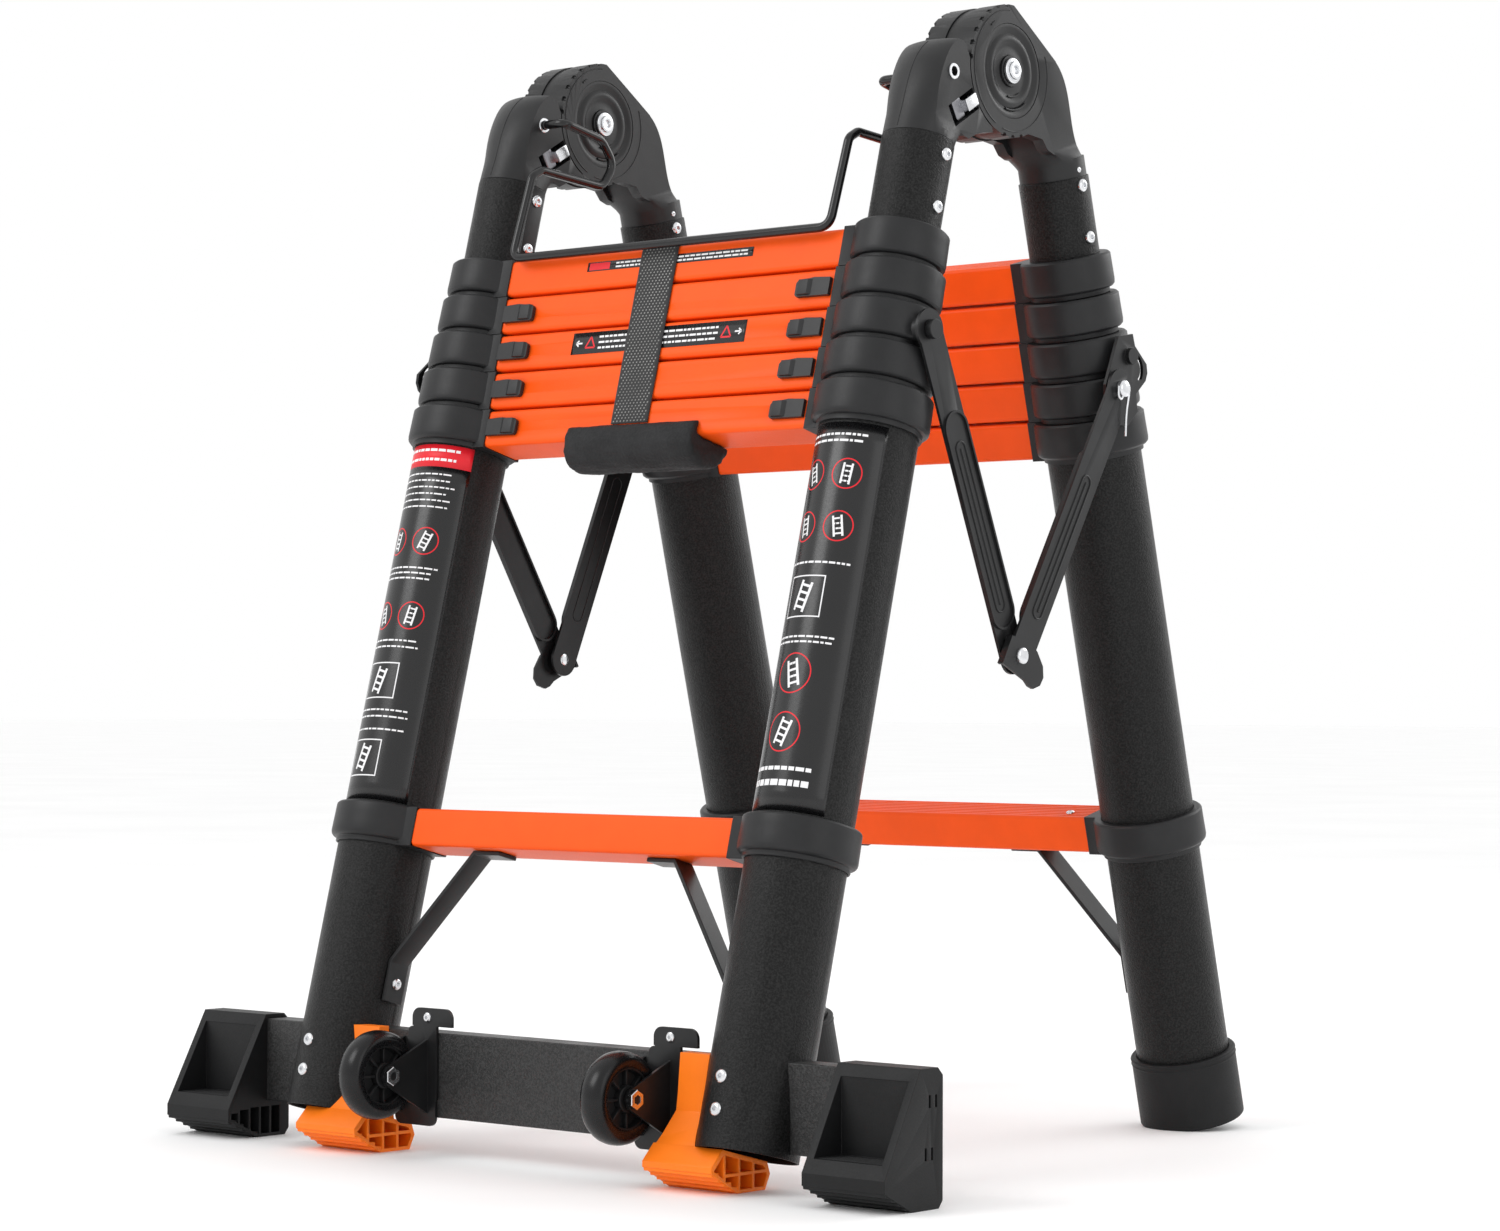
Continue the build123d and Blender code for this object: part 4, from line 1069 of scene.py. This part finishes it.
def stay_details():
    front, rear = to_yz("front", *FRONT_PIVOT), to_yz("back", *REAR_PIVOT)
    apex = front + rear
    for hand, turn in (("right", Matrix.Identity(4)), ("left", Matrix.Rotation(math.pi, 4, "Z"))):
        shapes = {}
        for link, pivot in (("inner", front), ("outer", rear)):
            face = STAY_FACE[link]
            low, high = pivot.lerp(apex, 0.36), pivot.lerp(apex, 0.84)
            rim = sweep(stadium(low, high, 5.0, face + 0.05), 0.75, 10)
            spine = sweep([Vector((face - 0.1, p.x, p.y)) for p in (low, high)], 0.9, 10)
            shapes[link] = join(rim, spine)
            if link == "inner":
                back = sweep(stadium(low, high, 5.0, STAY_BACK), 0.5, 10)
                shapes[link] = join(shapes[link], back)
        for link, bm in shapes.items():
            piece(f"{hand}_stay_{link}_pressing", bm, "upright", "steel_black", f"{hand}_{link}_link", (),
                  50, turn)
        dome = [(5.75, -1.4), (5.75, 0.5), (5.2, 1.1), (3.6, 1.6), (0.0, 1.75), (0.0, -1.4)]
        tail = [(4.4, -0.2), (4.4, 0.3), (3.6, 0.65), (0.0, 0.75), (0.0, -0.2)]
        tail = lathe([(r, -h) for r, h in tail], 28, along_x(STAY_BACK, -apex.x, -apex.y))
        rivet = join(lathe(dome, 32, along_x(247.0, -apex.x, -apex.y)), tail)
        piece(f"{hand}_stay_apex_rivet", rivet, "upright", "bright", f"{hand}_inner_link", (), 50, turn)
        pin = lathe([(6.2, 0.2), (6.2, 3.2), (5.6, 4.2), (3.4, 5.0), (0.0, 5.2), (0.0, 0.2)], 32,
                    along_x(STAY_FACE["outer"], -rear.x, -rear.y))
        offsets = [(-7.5, 1.5), (-8.0, -5.5), (-4.5, -8.5), (-1.5, -5.0), (2.0, 3.0), (4.8, 4.0), (5.6, -3.0),
                   (3.0, -12.0), (1.5, -21.0), (1.0, -34.0)]
        clip = [Vector((248.3, rear.x + y, rear.y + z)) for y, z in offsets]
        smooth = [clip[0]]
        for k in range(1, len(clip) - 1):
            for share in (0.25, 0.5, 0.75):
                a, b = clip[k - 1].lerp(clip[k], 0.5 + share / 2), clip[k].lerp(clip[k + 1], share / 2)
                smooth.append(a.lerp(b, share))
        smooth.append(clip[-1])
        bm = join(pin, sweep(smooth, 0.95, 10))
        piece(f"{hand}_stay_hitch_pin", bm, "upright", "bright", f"{hand}_outer_link", (), 50, turn)


stay_details()


# ---- button ramps and cup ribs ----
def button_ramps():
    """Raised thumb ramp on each release button."""
    for side in SIDES:
        for stage in (1, 2, 3, 4):
            half, middle = rung_half(stage), rung_top(stage) + RUNG_HEIGHT / 2
            for sign in (-1, 1):
                hand = sign if side == "front" else -sign
                name = "right" if hand > 0 else "left"
                profile = [(half - 30.2, RUNG_FACE + 3.0), (half - 17.0, RUNG_FACE + 3.0),
                           (half - 17.0, RUNG_FACE + 3.6), (half - 20.0, RUNG_FACE + 5.4),
                           (half - 28.5, RUNG_FACE + 5.0)]
                outline = [(sign * x, n) for x, n in profile]
                bm = plate(outline, middle - 5.6, middle + 5.4, lambda x, n, s: (x, -n, -s))
                piece(f"{side}_button_ramp_{name}_{stage}", soften(bm, 0.7, 2), side, "button",
                      f"{side}_{name}_button_{stage}_body")


def cup_ribs():
    """Ribs round the rubber cups on the back stiles."""
    for name, sign in (("left", 1), ("right", -1)):
        rings = []
        for s in (744.6, 748.0):
            flip = [(38.2, 1.0 - s), (39.2, 0.7 - s), (39.5, -s), (39.2, -0.7 - s), (38.2, -1.0 - s)]
            rings.append(lathe(flip, 72, Matrix.Translation((sign * STILE_X, -STILE_N, 0))))
        piece(f"back_cup_ribs_{name}", join(*rings), "back", "rubber", "back_base", (), 50)


button_ramps()
cup_ribs()


# ---- camera, floor and lights ----
def camera():
    data = bpy.data.cameras.new("camera")
    data.lens = 90.83
    data.sensor_width = 36.0
    cam = bpy.data.objects.new("camera", data)
    bpy.context.scene.collection.objects.link(cam)
    spot = (HINGE + Vector((1803.2, -2127.8, -441.7))) * MM
    turn = Matrix.Rotation(math.radians(40.64), 4, "Z") @ Matrix.Rotation(math.radians(91.27), 4, "X")
    cam.matrix_world = Matrix.Translation(spot) @ turn @ Matrix.Rotation(math.radians(0.19), 4, "Z")
    bpy.context.scene.camera = cam


def area_light(name, spot, target, size, power):
    data = bpy.data.lights.new(name, "AREA")
    data.shape = "RECTANGLE"
    data.size, data.size_y = size
    data.energy = power
    light = bpy.data.objects.new(name, data)
    bpy.context.scene.collection.objects.link(light)
    light.location = spot
    aim = Vector(target) - Vector(spot)
    light.rotation_euler = aim.to_track_quat("-Z", "Y").to_euler()


def studio():
    mesh = bpy.data.meshes.new("floor")
    bm = bmesh.new()
    bmesh.ops.create_grid(bm, x_segments=4, y_segments=4, size=40.0)
    bm.to_mesh(mesh)
    bm.free()
    floor = bpy.data.objects.new("floor", mesh)
    bpy.context.scene.collection.objects.link(floor)
    mat, nodes, links, shader, coords = new_material("pale_floor")
    tone = ramp(nodes, links, noise(nodes, links, coords, 2.0), (0.96, 0.96, 0.96), (1.0, 1.0, 1.0))
    links.new(tone, shader.inputs["Base Color"])
    shader.inputs["Roughness"].default_value = 0.7
    mesh.materials.append(mat)
    scene = bpy.context.scene
    scene.view_settings.view_transform = "Standard"
    world = bpy.data.worlds.new("studio")
    scene.world = world
    world.use_nodes = True
    world.node_tree.nodes["Background"].inputs["Color"].default_value = (1, 1, 1, 1)
    world.node_tree.nodes["Background"].inputs["Strength"].default_value = 1.0
    middle = (0, 0, 0.42)
    area_light("key", (-1.2, -2.6, 2.4), middle, (1.6, 1.6), 34)
    area_light("fill", (2.6, -0.6, 1.2), middle, (1.4, 1.8), 6)
    area_light("rim", (1.0, 2.6, 1.8), middle, (2.0, 1.2), 20)


camera()
studio()
